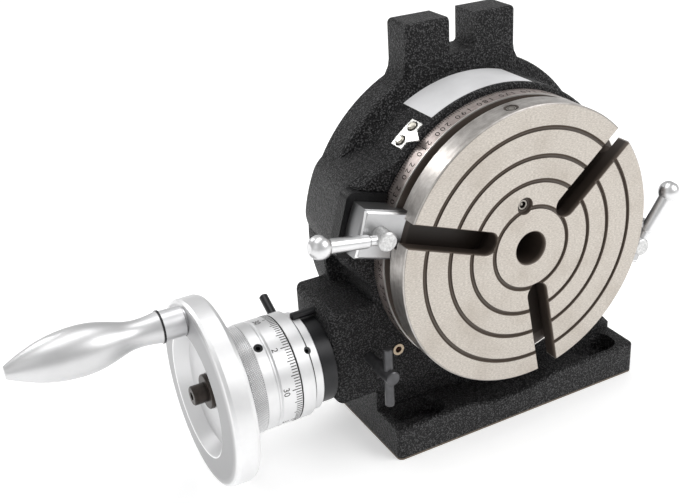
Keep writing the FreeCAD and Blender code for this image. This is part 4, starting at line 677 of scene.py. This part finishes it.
rows = []
for degree in range(360):
    long = 3.4 if degree % 10 == 0 else 2.8 if degree % 5 == 0 else 2.1
    rows.append((degree - SCALE_TURN, SCALE_BACK * MM, (SCALE_BACK - long) * MM, 0.3 * MM))
line_marks("degree_lines", "table", table_point, TABLE_R, rows)
rows = [(str(n * 10), n * 10 - SCALE_TURN, SCALE_NUMBERS * MM) for n in range(36)]
number_marks("degree_numbers", "table", table_point, TABLE_R, rows, 5.0 * MM, -1, 1.4)

rows = []
for i in range(120):
    long = 4.8 if i % 15 == 0 else 4.0 if i % 5 == 0 else 3.0
    rows.append((DIAL_TURN + 3 * i, DIAL_START * MM, (DIAL_START - long) * MM, 0.44 * MM))
line_marks("dial_lines", "dial", shaft_point, DIAL_R, rows)
rows = [(text, DIAL_TURN + 45 * i, DIAL_NUMBERS * MM) for i, text in enumerate(DIAL_LABELS)]
number_marks("dial_numbers", "dial", shaft_point, DIAL_R, rows, 4.7 * MM, 1)

# %% [markdown]
# Small screws need their sockets and a dark ring round a head, which is painted shadow.
# The set screws of the dial and of the clamp ring have six-sided sockets, drawn as black
# patches of painted shade, and the two screws of the index pointer sit in a ring of painted
# shadow. They are flat patches again.

# %% Screw details
SOCKETS = (("dial_socket", "dial", 27.4, 30, -137.6, 1.25),      # radius, angle, place, size
           ("ring_socket", "eccentric", 25.6, 48, -114.35, 1.1))
POINTER_ANGLE = 128.8
POINTER_DEPTH = 36.4 * MM
POINTER_TOP_R = DRUM_R + 0.8 * MM
SCREW_OUT = math.degrees(4.5 / 78)      # from the pointer's middle to each of its screws

hollow = Finish("socket_shadow", (0.002, 0.002, 0.002), 0.0, 0.8)
hollow.set("Specular IOR Level", 0.0)
hollow.set("Base Color", hollow.ramp(hollow.noise(900), [(0.4, (0.001,) * 3), (0.6, (0.003,) * 3)]))


def patch(name, body, centre, normal, outer, inner, sides, material):
    """A flat patch with so many sides, with a round hole in it or none."""
    across = normal.orthogonal().normalized()
    along = normal.cross(across)
    vertices = []
    for radius in ((outer, inner) if inner else (outer,)):
        for i in range(sides):
            a = 2 * math.pi * i / sides
            vertices.append(centre + radius * (math.cos(a) * across + math.sin(a) * along))
    if inner:
        faces = [(i, (i + 1) % sides, sides + (i + 1) % sides, sides + i) for i in range(sides)]
    else:
        faces = [tuple(range(sides))]
    return piece(name, vertices, faces, body, material.material)


# Painted shade: each socket is a flat black patch.
for name, body, radius, angle, x, size in SOCKETS:
    top = shaft_point(radius * MM + LIFT, angle, x * MM)
    patch(name, body, top, (top - Vector((top.x, WORM_Y, WORM_Z))).normalized(), size * MM, 0, 6, hollow)
# Painted shadow: a dark ring round each of the pointer's screw heads.
for side in (-1, 1):
    angle = POINTER_ANGLE + side * SCREW_OUT
    seat = table_point(POINTER_TOP_R + LIFT, angle, POINTER_DEPTH)
    outward = table_point(1, angle, 0) - table_point(0, angle, 0)
    patch("pointer_shadow_ring_" + ("left" if side > 0 else "right"), "body", seat, outward, 3.0 * MM,
          2.3 * MM, 24, ink_and_shadow)

# %% [markdown]
# The knurled band of the dial is rolled into small diamonds for the fingers. A ring of
# points stands alternately high and low, which gives the pyramids that a knurling wheel
# presses out.

# %% Knurl
KNURL_FROM, KNURL_TO = -140.75 * MM, -148.0 * MM
KNURL_R = 28.3 * MM
KNURL_HIGH, KNURL_LOW = 0.28 * MM, 0.02 * MM
columns, lines = 300, 13
vertices, faces = [], []
for j in range(lines + 1):
    x = KNURL_FROM + (KNURL_TO - KNURL_FROM) * j / lines
    for i in range(columns):
        high = KNURL_HIGH if (i + j) % 2 == 0 and 0 < j < lines else KNURL_LOW
        vertices.append(shaft_point(KNURL_R + high, 360 * i / columns, x))
for j in range(lines):
    for i in range(columns):
        a, b = j * columns + i, j * columns + (i + 1) % columns
        c, d = b + columns, a + columns
        if (i + j) % 2 == 0:
            faces += [(a, b, d), (b, c, d)]
        else:
            faces += [(a, b, c), (a, c, d)]
knurled = Finish("knurled_steel", SATIN, 1.0, 0.36)
# Painted light: the valleys are painted dark as painted shade and the crests light as painted highlights.
painted_crest_light = knurled.above(knurled.away(SHAFT_LINE, (1, 0, 0)), 28.38 * MM, 0.09 * MM)
knurled.set("Base Color", knurled.mix(painted_crest_light, (0.24, 0.24, 0.245), (0.84, 0.84, 0.845)))
piece("dial_knurl", vertices, faces, "dial", knurled.material)

# %% [markdown]
# A blank pale label on the drum. The real one carries print, which is left off here. It
# is a thin sheet of film that follows the drum, so it gets a real thickness.

# %% Label
LABEL_ANGLES = (73.5, 119)
LABEL_DEPTHS = (31.5 * MM, 58 * MM)
LABEL_THICK = 0.2 * MM

film = Finish("label_film", (0.72, 0.72, 0.73), 0.0, 0.35)
film.worn((0.74, 0.74, 0.75), 0.35, 90, 0.06)
film.bump(film.noise(240, 2, 0.5), 0.05 * MM, 0.3)


def sheet(name, body, radius, thick, angles, depths, material):
    """A thin curved plate on the drum."""
    steps = 28
    vertices, faces = [], []
    for i in range(steps + 1):
        a = angles[0] + (angles[1] - angles[0]) * i / steps
        for r, d in ((radius, depths[0]), (radius + thick, depths[0]), (radius + thick, depths[1]),
                     (radius, depths[1])):
            vertices.append(table_point(r, a, d))
    for i in range(steps):
        for k in range(4):
            a, b = 4 * i + k, 4 * i + (k + 1) % 4
            faces.append((a, b, b + 4, a + 4))
    faces += [(3, 2, 1, 0), tuple(4 * steps + k for k in range(4))]
    return piece(name, vertices, faces, body, material.material)


sheet("drum_label", "body", DRUM_R, LABEL_THICK, LABEL_ANGLES, LABEL_DEPTHS, film)
